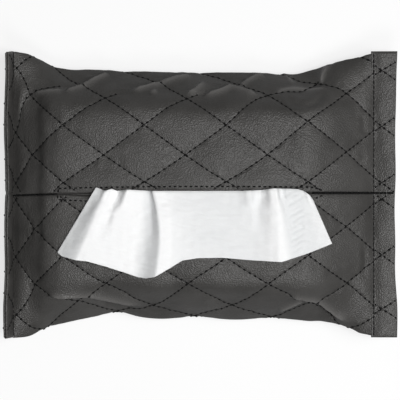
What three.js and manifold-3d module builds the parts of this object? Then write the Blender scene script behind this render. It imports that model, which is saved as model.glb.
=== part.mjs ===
// Quilted soft cover for a refill pack of facial tissues, lying on its flat back.
// Millimetres. X runs along the long side, Y across it, Z up out of the slit.
// The origin is under the middle of the part, on the surface that it lies on.
import * as THREE from 'three';
import { mergeVertices } from 'three/addons/utils/BufferGeometryUtils.js';
import Module from 'manifold-3d';

const wasm = await Module();
wasm.setup();

const { lerp, clamp, degToRad } = THREE.MathUtils;

// Clearances and cutting
const GAP = 0.3;                    // between pieces that touch
const OVERRUN = 4;                  // how far a cutter passes what it cuts
const THINNEST = 0.25;              // half thickness where an inner layer ends
const SEAM_EDGE_SETBACK = 6.8;      // times as far that inner layers stay off a seam's corners
const SLIVER = 0.01;                // finest size: faces thinner than this are merged
const FLAT_CUT = 0.5;               // how deep the soft back is pressed flat

// The layers that are quilted together
const SKIN = 0.9;                   // artificial leather
const FOAM = 2.5;                   // sponge wadding
const LINING = 0.5;                 // backing cloth

// The sewn tube
const GIRTH = 397;                  // cut length of the sheet that is wrapped round
const SEAM_TO_SEAM = 244.8;         // between the end seams, in plan
const BODY_HEIGHT = 50.5;           // crown of the front over the back, in the stitch lines
const SEAM_HEIGHT = 25;             // end seams over the back
const SEAM_HALF = 2;                // half thickness of the tube at an end seam
const WIDEST_HEIGHT = 14;           // where the long sides reach furthest out
const LEFT_WALL_RUN = 14;           // plan length of the steep left end, front
const LEFT_BACK_RUN = 24;           // and back
const RIGHT_SLOPE_RUN = 47;         // plan length of the slack right end, front
const RIGHT_BACK_RUN = 38;          // and back
const LEFT_GATHER_RUN = 46;         // over which the left end changes from tent to box
const RIGHT_GATHER_RUN = 56;        // and the right end
const BOXY_POWER = 7.5;             // roundness of the front's long edges, in the middle
const TENT_POWER = 2.5;             // and where the ends draw together
const EDGE_POWER = 1.3;
const BACK_BOXY_POWER = 12;         // the same for the back, which lies flatter
const BACK_TENT_POWER = 2.6;
const BACK_EDGE_POWER = 2.2;
const RISE_POWER = 1.7;             // how fast an end swells away from its seam
const BOXY_FROM_SHARE = 0.33;       // share of its rise at which an end may turn boxy
const SIDE_START_SHARE = 0.27;      // shares of the half girth where the long side starts,
const SIDE_END_SHARE = 0.6;         // where it ends,
const SIDE_BLEND_SHARE = 0.16;      // and over which it joins the front and the back

// Quilting
const DIAMOND_LENGTH = 55.4;        // along X
const DIAMOND_WIDTH = 38.6;         // round the girth
const PUFF = 1.4;                   // rise of a diamond over its stitch lines
const PUFF_POWER = 0.6;
const CROSSING_X = -37.8;           // one column of crossings on the flat front
const FIRST_ROW = 7.8;              // crossings next to the upper lip
const STEPS_PER_HALF = 3;           // mesh steps in half a diamond
const PUFF_EASE = 12;               // over which puffs fade at seams
const LIP_EASE = 5;                 // and at the slit
const BACK_FLAT = 56;               // half the width of the back that lies pressed flat

// Slit on the front's centre line
const SLIT_LENGTH = 179.6;
const SLIT_CENTRE_X = -7.3;
const UPPER_LIP = 2.2;              // how far each lip stands off the centre line
const LOWER_LIP = 5;
const HEM_SETBACK = 1.2;            // foam and lining stop short of the skin's edge
const UPPER_LIP_POWER = 16;
const LOWER_LIP_POWER = 2.6;
const SLIT_STEPS = 28;

// End flanges, outside the end seams
const FLANGE_WIDTH = 15.3;
const FLANGE_LAYER = 1.7;           // one layer of the flange, front or back
const LEFT_FLANGE_LIFT = degToRad(76);
const KNUCKLE_STEPS = 6;

// Elastic bands sewn across the back
const BAND_WIDTH = 25;
const BAND_LENGTH = 124;
const BAND_THICKNESS = 1.2;
const BAND_SPACING = 120;           // centre to centre
const BAND_CORNER = 2;

// Refill pack
const PACK_LENGTH = 189;
const PACK_WIDTH = 106;
const PACK_LEFT_CLEARANCE = 6;      // pack's end to the lining's left end
const PACK_CLEARANCE = 0.9;         // to the lining where that is curved
const PACK_END_ROUND = 14;
const PACK_POWER = 4.5;
const FILM = 0.4;
const FILM_SLOT_WIDTH = 22;
const FILM_SLOT_DEPTH = 9;

// Leading tissue
const TISSUE = 0.8;
const TISSUE_TOP_WIDTH = 143;       // gathered in the slit
const TISSUE_TOP_X = 0.9;           // middle of the gathered stretch
const TAIL_DEPTH = 32;              // below the front, inside the pack
const TAIL_OFFSET = 0.5;            // tissue to the upper lip
const CURL_HEIGHT = 6.5;            // crest over the front
const CURL_REACH = 12;              // from the tail to where the sheet lands
const GROOVE_CLEARANCE = 0.4;       // between the tail and the folded stack

const CURL_LEAN_SHARE = 0.7;        // of the reach, where the curl turns down
const CURL_FALL_SHARE = 0.8;        // and of its height
const CURL_FOLD_SHARE = 0.5;        // of the folds' height, at the end of the curl
const DRAPE_LEFT = -97.3;           // left corner of the free edge
const DRAPE_WIDTH = 187.1;
const DRAPE_REACH = 57.5;           // furthest that the free edge lies from the tail
const FOLD_HEIGHT = 5.5;            // highest of the soft folds

// Free edge, by shares of the tissue's own width, then of the drape's width and reach
const EDGE_SHARES = [0, 0.12, 0.25, 0.4, 0.52, 0.7, 0.84, 1];
const EDGE_X_SHARES = [0, 0.066, 0.178, 0.32, 0.456, 0.67, 0.814, 1];
const EDGE_REACH_SHARES = [0.7, 0.79, 0.85, 1, 0.77, 0.765, 0.8, 0.59];

// Soft folds: place and width as shares of the tissue's width, and share of the height
const FOLD_SHARES = [
  { place: 0.05, width: 0.05, height: 0.44 },
  { place: 0.17, width: 0.06, height: 0.29 },
  { place: 0.41, width: 0.07, height: 1 },
  { place: 0.62, width: 0.09, height: 0.25 },
  { place: 0.8, width: 0.06, height: 0.65 },
];

// Mesh and search steps
const GIRTH_STEPS = 120;
const STATIONS = 160;
const SHORTEST_STEP_SHARE = 0.25;   // of a mesh step, next to an end of the sheet
const LINE_NUDGE_SHARE = 0.001;     // keeps a stitch line on one side of its own diamond

// Values worked out from the sizes above
const HALF_GIRTH = GIRTH / 2;
const HALF_LENGTH = DIAMOND_LENGTH / 2;
const HALF_WIDTH = DIAMOND_WIDTH / 2;
const FOAM_OUTSIDE = SKIN + GAP;
const FOAM_INSIDE = FOAM_OUTSIDE + FOAM;
const LINING_OUTSIDE = FOAM_INSIDE + GAP;
const LINING_INSIDE = LINING_OUTSIDE + LINING;
const HINGE_OFFSET = FLANGE_LAYER + GAP;
const LEFT_REACH = HINGE_OFFSET + FLANGE_WIDTH * Math.cos(LEFT_FLANGE_LIFT)
  + FLANGE_LAYER * Math.sin(LEFT_FLANGE_LIFT);
const RIGHT_REACH = HINGE_OFFSET + FLANGE_WIDTH;
const LEFT_SEAM = (LEFT_REACH - RIGHT_REACH - SEAM_TO_SEAM) / 2;
const RIGHT_SEAM = LEFT_SEAM + SEAM_TO_SEAM;
const CHANNEL_DEPTH = BAND_THICKNESS + GAP;

// Materials
const leather = { color: 0x52514f, roughness: 0.55, metalness: 0 };
const foam = { color: 0x8b8a86, roughness: 0.95, metalness: 0 };
const lining = { color: 0x2b2b2c, roughness: 0.9, metalness: 0 };
const elastic = { color: 0x1d1d1e, roughness: 0.85, metalness: 0 };
const film = { color: 0xdfe6ea, roughness: 0.3, metalness: 0 };
const tissue = { color: 0xf2f2f0, roughness: 0.95, metalness: 0 };

// Small helpers
const ease = (value) => THREE.MathUtils.smoothstep(value, 0, 1);
const rise = (distance, run) => 1 - (1 - clamp(distance / run, 0, 1)) ** RISE_POWER;

function interpolate(shares, values, share) {
  const last = shares.length - 1;
  const next = shares.findIndex((entry) => entry >= share);
  const i = clamp(next < 0 ? last : next, 1, last);
  const local = (share - shares[i - 1]) / (shares[i] - shares[i - 1]);
  return lerp(values[i - 1], values[i], ease(clamp(local, 0, 1)));
}

function evenShares(count) {
  return Array.from({ length: count + 1 }, (_, i) => i / count);
}

// Solids and booleans
function toSolid(geometry) {
  const bare = geometry.index ? geometry.clone() : geometry;
  bare.deleteAttribute('normal');
  bare.deleteAttribute('uv');
  const merged = mergeVertices(bare);
  return new wasm.Manifold(new wasm.Mesh({
    numProp: 3,
    vertProperties: new Float32Array(merged.attributes.position.array),
    triVerts: new Uint32Array(merged.index.array),
  }));
}

function toGeometry(solid) {
  const mesh = solid.simplify(SLIVER).getMesh();
  const geometry = new THREE.BufferGeometry();
  geometry.setAttribute('position', new THREE.BufferAttribute(mesh.vertProperties, 3));
  geometry.setIndex(new THREE.BufferAttribute(mesh.triVerts, 1));
  geometry.computeVertexNormals();
  return geometry;
}

function part(name, geometry, material) {
  const mesh = new THREE.Mesh(geometry, new THREE.MeshStandardMaterial(material));
  mesh.name = name;
  return mesh;
}

function meshOf(points, triangles) {
  const geometry = new THREE.BufferGeometry();
  geometry.setAttribute('position', new THREE.Float32BufferAttribute(points, 3));
  geometry.setIndex(triangles);
  return geometry;
}

// Face that closes a ring by joining its two halves crosswise, away from its tip
function endFace(start, count, side, tip) {
  const triangles = [];
  const add = (...corners) => {
    const [a, b, c] = corners.map((k) => start + ((tip + k) % count));
    triangles.push(...(side > 0 ? [a, b, c] : [a, c, b]));
  };
  let low = 0;
  let high = count - 1;
  while (high - low > 1) {
    add(low, low + 1, high);
    low += 1;
    if (high - low > 1) add(low, high - 1, high);
    high -= 1;
  }
  return triangles;
}

// Closed solid through a row of closed rings of points, with flat ends
function loft(rings, tip = 0) {
  const count = rings[0].length;
  const points = rings.flat().flatMap((p) => [p.x, p.y, p.z]);
  const triangles = [];
  for (let i = 0; i + 1 < rings.length; i += 1) {
    for (let j = 0; j < count; j += 1) {
      const a = i * count + j;
      const b = i * count + ((j + 1) % count);
      // the shorter diagonal follows the stitch line
      if (rings[i][j].slant) triangles.push(a, a + count, b + count, a, b + count, b);
      else triangles.push(a, a + count, b, b, a + count, b + count);
    }
  }
  const last = (rings.length - 1) * count;
  triangles.push(...endFace(0, count, 1, tip), ...endFace(last, count, -1, tip));
  return toSolid(meshOf(points, triangles));
}

// Cross-section of the tube at a place along X, drawn in by an inset
function sectionHeights(x, inset) {
  const left = Math.max(x - LEFT_SEAM - inset, 0);
  const right = Math.max(RIGHT_SEAM - x - inset, 0);
  const front = rise(left, LEFT_WALL_RUN) * rise(right, RIGHT_SLOPE_RUN);
  const back = rise(left, LEFT_BACK_RUN) * rise(right, RIGHT_BACK_RUN);
  const gather = ease(left / LEFT_GATHER_RUN) * ease(right / RIGHT_GATHER_RUN);
  const swell = clamp(Math.min(front, back) / BOXY_FROM_SHARE, 0, 1);
  const boxy = lerp(1, gather, swell);
  return {
    top: lerp(SEAM_HEIGHT + SEAM_HALF, BODY_HEIGHT, front) - inset,
    bottom: lerp(SEAM_HEIGHT - SEAM_HALF, -FLAT_CUT, back) + inset,
    widest: lerp(SEAM_HEIGHT, WIDEST_HEIGHT, back),
    gather,
    frontPower: lerp(TENT_POWER, BOXY_POWER, boxy),
    backPower: lerp(BACK_TENT_POWER, BACK_BOXY_POWER, boxy),
  };
}

// Point of a cross-section. turn runs 0 to 4: front centre, far side, back, near side.
function sectionPoint(heights, halfWidth, turn, floor) {
  const side = turn <= 2 ? turn : 4 - turn;
  const share = Math.sin((side <= 1 ? side : 2 - side) * Math.PI / 2);
  const across = turn <= 2 ? share : -share;
  const { top, bottom, widest, frontPower, backPower } = heights;
  const z = side <= 1
    ? widest + (top - widest) * (1 - share ** frontPower) ** (1 / EDGE_POWER)
    : widest - (widest - bottom) * (1 - share ** backPower) ** (1 / BACK_EDGE_POWER);
  return [halfWidth * across, Math.max(z, floor)];
}

// Lengths along half a cross-section, from the front's centre to the back's
function girthLengths(heights, halfWidth) {
  const lengths = [0];
  let [y, z] = sectionPoint(heights, halfWidth, 0, 0);
  for (let i = 1; i <= GIRTH_STEPS; i += 1) {
    const [nextY, nextZ] = sectionPoint(heights, halfWidth, 2 * i / GIRTH_STEPS, 0);
    lengths.push(lengths[i - 1] + Math.hypot(nextY - y, nextZ - z));
    [y, z] = [nextY, nextZ];
  }
  return lengths;
}

// The sheet keeps its girth everywhere, so a higher section is a narrower one
function solveHalfWidth(x) {
  const heights = sectionHeights(x, 0);
  let low = 0;
  let high = HALF_GIRTH;
  while (high - low > SLIVER) {
    const middle = (low + high) / 2;
    if (girthLengths(heights, middle)[GIRTH_STEPS] > HALF_GIRTH) high = middle;
    else low = middle;
  }
  return low;
}

const stationShares = evenShares(STATIONS);
const widths = stationShares.map((share) => solveHalfWidth(LEFT_SEAM + share * SEAM_TO_SEAM));

function table(values, share) {
  const place = clamp(share, 0, 1) * (values.length - 1);
  const i = Math.min(Math.floor(place), values.length - 2);
  return lerp(values[i], values[i + 1], place - i);
}

const halfWidthAt = (x) => table(widths, (x - LEFT_SEAM) / SEAM_TO_SEAM);

// Lowest and highest point of the tube at a place in plan, drawn in by an inset
function hollowHeights(x, y, inset) {
  const heights = sectionHeights(x, inset);
  const { top, bottom, widest, frontPower, backPower } = heights;
  const share = clamp(Math.abs(y) / (halfWidthAt(x) - inset), 0, 1);
  const high = widest + (top - widest) * (1 - share ** frontPower) ** (1 / EDGE_POWER);
  const low = widest - (widest - bottom) * (1 - share ** backPower) ** (1 / BACK_EDGE_POWER);
  return [Math.max(low, inset), high];
}

// Length of the sheet along the front's centre, from the left seam to each station
const crownLengths = [0];
for (let i = 1; i <= STATIONS; i += 1) {
  const before = sectionHeights(LEFT_SEAM + stationShares[i - 1] * SEAM_TO_SEAM, 0).top;
  const after = sectionHeights(LEFT_SEAM + stationShares[i] * SEAM_TO_SEAM, 0).top;
  crownLengths.push(crownLengths[i - 1] + Math.hypot(SEAM_TO_SEAM / STATIONS, after - before));
}
const SHEET_LENGTH = crownLengths[STATIONS];

const alongOf = (x) => table(crownLengths, (x - LEFT_SEAM) / SEAM_TO_SEAM);

// Place along X of a point of the sheet. The long sides take the short way between the seams.
function placeOf(along, round) {
  const i = clamp(crownLengths.findIndex((length) => length >= along), 1, STATIONS);
  const local = (along - crownLengths[i - 1]) / (crownLengths[i] - crownLengths[i - 1]);
  const crown = (i - 1 + clamp(local, 0, 1)) / STATIONS;
  const turn = Math.min(round, GIRTH - round) / HALF_GIRTH;
  const onto = ease((turn - SIDE_START_SHARE) / SIDE_BLEND_SHARE);
  const off = ease((turn - SIDE_END_SHARE) / SIDE_BLEND_SHARE);
  return LEFT_SEAM + SEAM_TO_SEAM * lerp(crown, along / SHEET_LENGTH, onto * (1 - off));
}

// Point of the sheet: along it from the left seam, and round it from the upper lip
function sheetPoint(along, round) {
  const x = placeOf(along, round);
  const heights = sectionHeights(x, 0);
  const halfWidth = halfWidthAt(x);
  const lengths = girthLengths(heights, halfWidth);
  const target = Math.min(round, GIRTH - round) / HALF_GIRTH * lengths[GIRTH_STEPS];
  const i = clamp(lengths.findIndex((length) => length >= target), 1, GIRTH_STEPS);
  const local = (target - lengths[i - 1]) / (lengths[i] - lengths[i - 1]);
  const half = 2 * (i - 1 + clamp(local, 0, 1)) / GIRTH_STEPS;
  const turn = round <= HALF_GIRTH ? half : 4 - half;
  const [y, z] = sectionPoint(heights, halfWidth, turn, 0);
  return new THREE.Vector3(x, y, z);
}

// Rise of the quilting over its stitch lines
function puffAt(along, round) {
  const column = (along - alongOf(CROSSING_X)) / HALF_LENGTH;
  const row = (round - FIRST_ROW) / HALF_WIDTH;
  const rising = Math.abs(Math.sin(Math.PI * (column + row) / 2));
  const falling = Math.abs(Math.sin(Math.PI * (column - row) / 2));
  const ends = ease(Math.min(along, SHEET_LENGTH - along) / PUFF_EASE);
  const lips = ease(Math.min(round, GIRTH - round) / LIP_EASE);
  return PUFF * (rising * falling) ** PUFF_POWER * ends * lips;
}

function quiltedPoint(along, round) {
  const step = SHORTEST_STEP_SHARE * HALF_WIDTH / STEPS_PER_HALF;
  const point = sheetPoint(along, round);
  const low = clamp(along - step, 0, SHEET_LENGTH);
  const high = clamp(along + step, 0, SHEET_LENGTH);
  const length = sheetPoint(high, round).sub(sheetPoint(low, round));
  const width = sheetPoint(along, (round + step) % GIRTH)
    .sub(sheetPoint(along, (round - step + GIRTH) % GIRTH));
  const normal = length.cross(width).normalize();
  const pressed = ease(point.z / WIDEST_HEIGHT);
  point.addScaledVector(normal, puffAt(along, round) * pressed);
  point.z = Math.max(point.z, 0);
  return point;
}

// Mesh lines in step with the stitch lines, with the ends of the range added
function quiltLines(origin, half, steps, length) {
  const step = half / steps;
  const lines = [0];
  const shortest = SHORTEST_STEP_SHARE * step;
  const first = Math.ceil((shortest - origin) / step);
  const last = Math.floor((length - shortest - origin) / step);
  for (let k = first; k <= last; k += 1) lines.push(origin + k * step);
  lines.push(length);
  return lines;
}

function coverOutside() {
  const grid = quiltLines(alongOf(CROSSING_X), HALF_LENGTH, STEPS_PER_HALF, SHEET_LENGTH);
  const bent = alongOf(LEFT_SEAM + 2 * LEFT_WALL_RUN);
  const columns = grid.flatMap((along, k) => (
    k > 0 && along < bent ? [(grid[k - 1] + along) / 2, along] : [along]
  ));
  const lines = quiltLines(FIRST_ROW, HALF_WIDTH, STEPS_PER_HALF, GIRTH).slice(0, -1);
  const onBack = (round) => Math.abs(round - HALF_GIRTH) < BACK_FLAT;
  const rows = lines.filter((round, k) => !onBack(round) || (k - 1) % STEPS_PER_HALF === 0);
  return loft(columns.map((along) => rows.map((round) => {
    const point = quiltedPoint(along, round);
    const column = (along - alongOf(CROSSING_X)) / HALF_LENGTH;
    const row = (round - FIRST_ROW) / HALF_WIDTH;
    const whole = (place) => Math.floor(place + LINE_NUDGE_SHARE);
    point.slant = (whole(column) + whole(row)) % 2 === 0;
    return point;
  })), rows.findIndex((round) => round > HALF_GIRTH / 2));
}

// Inner faces of the layers share one coarser mesh, so that they stay parallel
const FRONT_TURN_SHARES = [0, 0.3, 0.5, 0.6, 0.68, 0.76, 0.84, 0.92, 1];
const BACK_TURN_SHARES = [0, 0.45, 0.62, 0.74, 0.85, 0.94];
const LENGTH_SHARES = [0.01, 0.02, 0.028, 0.038, 0.05, 0.073, 0.1, 0.13, 0.22, 0.5, 0.72, 0.79,
  0.86, 0.92, 0.97];
const LAYER_INSETS = [SKIN, FOAM_OUTSIDE, FOAM_INSIDE, LINING_OUTSIDE, LINING_INSIDE];

function endOfLayer(seam, direction, inset) {
  let low = 0;
  let high = SEAM_TO_SEAM / 2;
  while (high - low > SLIVER) {
    const middle = (low + high) / 2;
    const { top, bottom, widest } = sectionHeights(seam + direction * middle, inset);
    if (Math.min(top - widest, widest - bottom) > THINNEST) high = middle;
    else low = middle;
  }
  return seam + direction * Math.max(high, inset);
}

// Stations along X that every inner face has, with the ends of all layers among them
function layerStations(inset) {
  const left = endOfLayer(LEFT_SEAM, 1, inset);
  const right = endOfLayer(RIGHT_SEAM, -1, inset);
  const stations = LENGTH_SHARES.map((share) => LEFT_SEAM + share * SEAM_TO_SEAM);
  for (const other of LAYER_INSETS) {
    stations.push(endOfLayer(LEFT_SEAM, 1, other), endOfLayer(RIGHT_SEAM, -1, other));
  }
  const inner = stations.filter((x) => x > left && x < right);
  return [left, ...inner.sort((a, b) => a - b), right];
}

function coverInside(inset) {
  const half = [...FRONT_TURN_SHARES, ...BACK_TURN_SHARES.map((share) => 2 - share).reverse()];
  const turns = [...half, ...half.slice(1, -1).map((turn) => 4 - turn).reverse()];
  return loft(layerStations(inset).map((x) => {
    const heights = sectionHeights(x, inset);
    const halfWidth = halfWidthAt(x) - inset * lerp(SEAM_EDGE_SETBACK, 1, heights.gather);
    return turns.map((turn) => {
      const [y, z] = sectionPoint(heights, halfWidth, turn, inset);
      return new THREE.Vector3(x, y, z);
    });
  }), turns.indexOf(1));
}

// Slit: straight upper lip, lower lip bowed open by the tissue
function slitCutter(grow) {
  const half = SLIT_LENGTH / 2 + grow;
  const outline = [];
  for (let i = 0; i <= SLIT_STEPS; i += 1) {
    const share = 2 * i / SLIT_STEPS - 1;
    outline.push([share * half, (UPPER_LIP + grow) * (1 - Math.abs(share) ** UPPER_LIP_POWER)]);
  }
  for (let i = SLIT_STEPS - 1; i > 0; i -= 1) {
    const share = 2 * i / SLIT_STEPS - 1;
    outline.push([share * half, -(LOWER_LIP + grow) * (1 - Math.abs(share) ** LOWER_LIP_POWER)]);
  }
  const shape = new THREE.Shape(outline.map(([x, y]) => new THREE.Vector2(x, y)));
  const depth = 2 * LINING_INSIDE + OVERRUN;
  const geometry = new THREE.ExtrudeGeometry(shape, { depth, bevelEnabled: false });
  geometry.translate(SLIT_CENTRE_X, 0, BODY_HEIGHT + OVERRUN - depth);
  return toSolid(geometry);
}

// Channels that the elastic bands press into the soft back
function bandChannels(grow) {
  const height = CHANNEL_DEPTH + grow + OVERRUN;
  const channels = [-1, 1].map((side) => {
    const box = new THREE.BoxGeometry(
      BAND_WIDTH + 2 * (GAP + grow),
      BAND_LENGTH + 2 * (GAP + grow),
      height,
    );
    box.translate(side * BAND_SPACING / 2, 0, CHANNEL_DEPTH + grow - height / 2);
    return toSolid(box);
  });
  return channels[0].add(channels[1]);
}

function coverSkin() {
  const outside = coverOutside().subtract(bandChannels(0));
  const inside = coverInside(SKIN).subtract(bandChannels(SKIN));
  return toGeometry(outside.subtract(inside).subtract(slitCutter(0)));
}

function coverFoam() {
  const outside = coverInside(FOAM_OUTSIDE).subtract(bandChannels(FOAM_OUTSIDE));
  return toGeometry(outside.subtract(coverInside(FOAM_INSIDE)).subtract(slitCutter(HEM_SETBACK)));
}

function coverLining() {
  const outside = coverInside(LINING_OUTSIDE);
  return toGeometry(outside.subtract(coverInside(LINING_INSIDE)).subtract(slitCutter(HEM_SETBACK)));
}

// One layer of a flange, its root rounded about the seam, extruded along the seam.
// reach points away from the cover, face is 1 for the front layer and -1 for the back.
function flangeLayer(reach, face) {
  const half = GAP / 2;
  const start = Math.asin(half / FLANGE_LAYER);
  const outline = [];
  for (let i = 0; i <= KNUCKLE_STEPS; i += 1) {
    const angle = lerp(start, Math.PI / 2, i / KNUCKLE_STEPS);
    outline.push([-Math.cos(angle) * FLANGE_LAYER, Math.sin(angle) * FLANGE_LAYER]);
  }
  outline.push([FLANGE_WIDTH, FLANGE_LAYER], [FLANGE_WIDTH, half]);
  const shape = new THREE.Shape(outline.map(([u, w]) => new THREE.Vector2(reach * u, face * w)));
  const depth = 2 * halfWidthAt(reach < 0 ? LEFT_SEAM : RIGHT_SEAM);
  const geometry = new THREE.ExtrudeGeometry(shape, { depth, bevelEnabled: false });
  geometry.rotateX(Math.PI / 2);
  geometry.translate(0, depth / 2, 0);
  return toGeometry(toSolid(geometry));
}

function flange(side, reach, lift) {
  const group = new THREE.Group();
  group.add(part(`flange_${side}_front`, flangeLayer(reach, 1), leather));
  group.add(part(`flange_${side}_back`, flangeLayer(reach, -1), leather));
  const seam = reach < 0 ? LEFT_SEAM : RIGHT_SEAM;
  group.position.set(seam + reach * HINGE_OFFSET, 0, SEAM_HEIGHT);
  group.rotation.y = -reach * lift;
  return group;
}

function elasticBand() {
  const shape = new THREE.Shape();
  const halfX = BAND_WIDTH / 2;
  const halfY = BAND_LENGTH / 2;
  shape.moveTo(-halfX + BAND_CORNER, -halfY);
  shape.absarc(halfX - BAND_CORNER, -halfY + BAND_CORNER, BAND_CORNER, -Math.PI / 2, 0);
  shape.absarc(halfX - BAND_CORNER, halfY - BAND_CORNER, BAND_CORNER, 0, Math.PI / 2);
  shape.absarc(-halfX + BAND_CORNER, halfY - BAND_CORNER, BAND_CORNER, Math.PI / 2, Math.PI);
  shape.absarc(-halfX + BAND_CORNER, -halfY + BAND_CORNER, BAND_CORNER, Math.PI, 1.5 * Math.PI);
  const settings = { depth: BAND_THICKNESS, bevelEnabled: false, curveSegments: 3 };
  return new THREE.ExtrudeGeometry(shape, settings);
}

// Refill pack, drawn in by an inset: a rounded block that fills the lining's height
const PACK_LEFT = endOfLayer(LEFT_SEAM, 1, LINING_INSIDE) + PACK_LEFT_CLEARANCE;
const PACK_TOP = BODY_HEIGHT - LINING_INSIDE - GAP;
const PACK_BOTTOM = LINING_INSIDE + GAP;
const PACK_TURNS = 32;
const PACK_END_HEIGHT_SHARE = 0.35;
const PACK_END_WIDTH_SHARE = 0.8;
const PACK_LENGTH_SHARES = [0, 0.008, 0.022, 0.045, 0.09, 0.5, 0.91, 0.955, 0.978, 0.992, 1];

function packBlock(inset) {
  const length = PACK_LENGTH - 2 * inset;
  const middle = (PACK_TOP + PACK_BOTTOM) / 2;
  const hollow = LINING_INSIDE + PACK_CLEARANCE + inset;
  return loft(PACK_LENGTH_SHARES.map((share) => {
    const x = PACK_LEFT + inset + share * length;
    const end = 1 - clamp(Math.min(share, 1 - share) * length / PACK_END_ROUND, 0, 1);
    const round = Math.sqrt(1 - end ** 2);
    const fill = lerp(PACK_END_HEIGHT_SHARE, 1, round);
    const halfWidth = (PACK_WIDTH / 2 - inset) * lerp(PACK_END_WIDTH_SHARE, 1, round);
    const heights = {
      top: middle + (PACK_TOP - inset - middle) * fill,
      bottom: middle - (middle - PACK_BOTTOM - inset) * fill,
      widest: middle,
      frontPower: PACK_POWER,
      backPower: PACK_POWER,
    };
    return Array.from({ length: PACK_TURNS }, (_, j) => {
      const turn = 4 * j / PACK_TURNS;
      const [y, z] = sectionPoint(heights, halfWidth, turn, 0);
      const [low, high] = hollowHeights(x, y, hollow);
      return new THREE.Vector3(x, y, clamp(z, low, high));
    });
  }), PACK_TURNS / 4);
}

function topSlot(length, width, depth, x, y) {
  const box = new THREE.BoxGeometry(length, width, depth + OVERRUN);
  box.translate(x, y, PACK_TOP + OVERRUN - (depth + OVERRUN) / 2);
  return toSolid(box);
}

const TAIL_Y = UPPER_LIP - TAIL_OFFSET - TISSUE / 2;
const TAIL_FOOT = BODY_HEIGHT - TAIL_DEPTH;

function refillFilm() {
  const length = TISSUE_TOP_WIDTH + 2 * GROOVE_CLEARANCE;
  const slot = topSlot(length, FILM_SLOT_WIDTH, FILM_SLOT_DEPTH, TISSUE_TOP_X, TAIL_Y);
  return toGeometry(packBlock(0).subtract(packBlock(FILM)).subtract(slot));
}

function tissueStack() {
  const length = TISSUE_TOP_WIDTH + 2 * GROOVE_CLEARANCE;
  const width = TISSUE + 2 * GROOVE_CLEARANCE;
  const depth = PACK_TOP - TAIL_FOOT + GROOVE_CLEARANCE;
  const groove = topSlot(length, width, depth, TISSUE_TOP_X, TAIL_Y);
  return toGeometry(packBlock(FILM + GAP).subtract(groove));
}

// Leading tissue: a tail in the pack, a curl over the lower lip and a draped free end
const TISSUE_COLUMNS = 31;
const TAIL_ROWS = 3;
const CURL_ROWS = 7;
const DRAPE_ROWS = 8;
const LANDING_Z = BODY_HEIGHT + PUFF + GAP + TISSUE / 2;

const curl = new THREE.CubicBezierCurve(
  new THREE.Vector2(TAIL_Y, BODY_HEIGHT + PUFF),
  new THREE.Vector2(TAIL_Y, BODY_HEIGHT + PUFF + CURL_HEIGHT),
  new THREE.Vector2(
    TAIL_Y - CURL_LEAN_SHARE * CURL_REACH,
    LANDING_Z + CURL_FALL_SHARE * CURL_HEIGHT,
  ),
  new THREE.Vector2(TAIL_Y - CURL_REACH, LANDING_Z),
);

function foldHeight(share) {
  let heightShare = 0;
  for (const fold of FOLD_SHARES) {
    heightShare += fold.height * Math.exp(-(((share - fold.place) / fold.width) ** 2));
  }
  return FOLD_HEIGHT * heightShare;
}

function tissuePoint(across, row) {
  const topX = TISSUE_TOP_X + (across - 0.5) * TISSUE_TOP_WIDTH;
  if (row <= TAIL_ROWS) {
    const z = lerp(TAIL_FOOT, BODY_HEIGHT + PUFF, row / TAIL_ROWS);
    return new THREE.Vector3(topX, TAIL_Y, z);
  }
  const reach = DRAPE_REACH * interpolate(EDGE_SHARES, EDGE_REACH_SHARES, across);
  const edgeX = DRAPE_LEFT + DRAPE_WIDTH * interpolate(EDGE_SHARES, EDGE_X_SHARES, across);
  if (row <= TAIL_ROWS + CURL_ROWS) {
    const share = (row - TAIL_ROWS) / CURL_ROWS;
    const place = curl.getPoint(share);
    const spread = ease(share) * CURL_REACH / reach;
    const lift = CURL_FOLD_SHARE * foldHeight(across) * ease(share);
    return new THREE.Vector3(lerp(topX, edgeX, spread), place.x, place.y + lift);
  }
  const share = (row - TAIL_ROWS - CURL_ROWS) / DRAPE_ROWS;
  const y = lerp(TAIL_Y - CURL_REACH, TAIL_Y - reach, share);
  const x = lerp(topX, edgeX, (TAIL_Y - y) / reach);
  const resting = hollowHeights(x, y, 0)[1] + PUFF + GAP + TISSUE / 2;
  const lift = foldHeight(across) * lerp(CURL_FOLD_SHARE, 1, share);
  return new THREE.Vector3(x, y, resting + lift);
}

function tissueSheet() {
  const rows = TAIL_ROWS + CURL_ROWS + DRAPE_ROWS;
  const grid = evenShares(TISSUE_COLUMNS).map((across) => (
    Array.from({ length: rows + 1 }, (_, row) => tissuePoint(across, row))
  ));
  const rings = grid.map((line, i) => {
    const before = grid[Math.max(i - 1, 0)];
    const after = grid[Math.min(i + 1, TISSUE_COLUMNS)];
    const front = [];
    const back = [];
    line.forEach((point, j) => {
      const sideways = after[j].clone().sub(before[j]);
      const onwards = line[Math.min(j + 1, rows)].clone().sub(line[Math.max(j - 1, 0)]);
      const normal = sideways.cross(onwards).normalize();
      front.push(point.clone().addScaledVector(normal, TISSUE / 2));
      back.unshift(point.clone().addScaledVector(normal, -TISSUE / 2));
    });
    return [...front, ...back];
  });
  return toGeometry(loft(rings));
}

// Assembly
const holder = new THREE.Group();
holder.add(part('cover_skin', coverSkin(), leather));
holder.add(part('cover_foam', coverFoam(), foam));
holder.add(part('cover_lining', coverLining(), lining));
holder.add(flange('left', -1, LEFT_FLANGE_LIFT));
holder.add(flange('right', 1, 0));
for (const [name, side] of [['band_left', -1], ['band_right', 1]]) {
  const band = part(name, elasticBand(), elastic);
  band.position.x = side * BAND_SPACING / 2;
  holder.add(band);
}
holder.add(part('refill_film', refillFilm(), film));
holder.add(part('tissue_stack', tissueStack(), tissue));
holder.add(part('tissue_sheet', tissueSheet(), tissue));

export default holder;
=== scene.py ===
# Looks of the quilted tissue cover. Lengths are millimetres until a mesh is made.
import math

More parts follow.
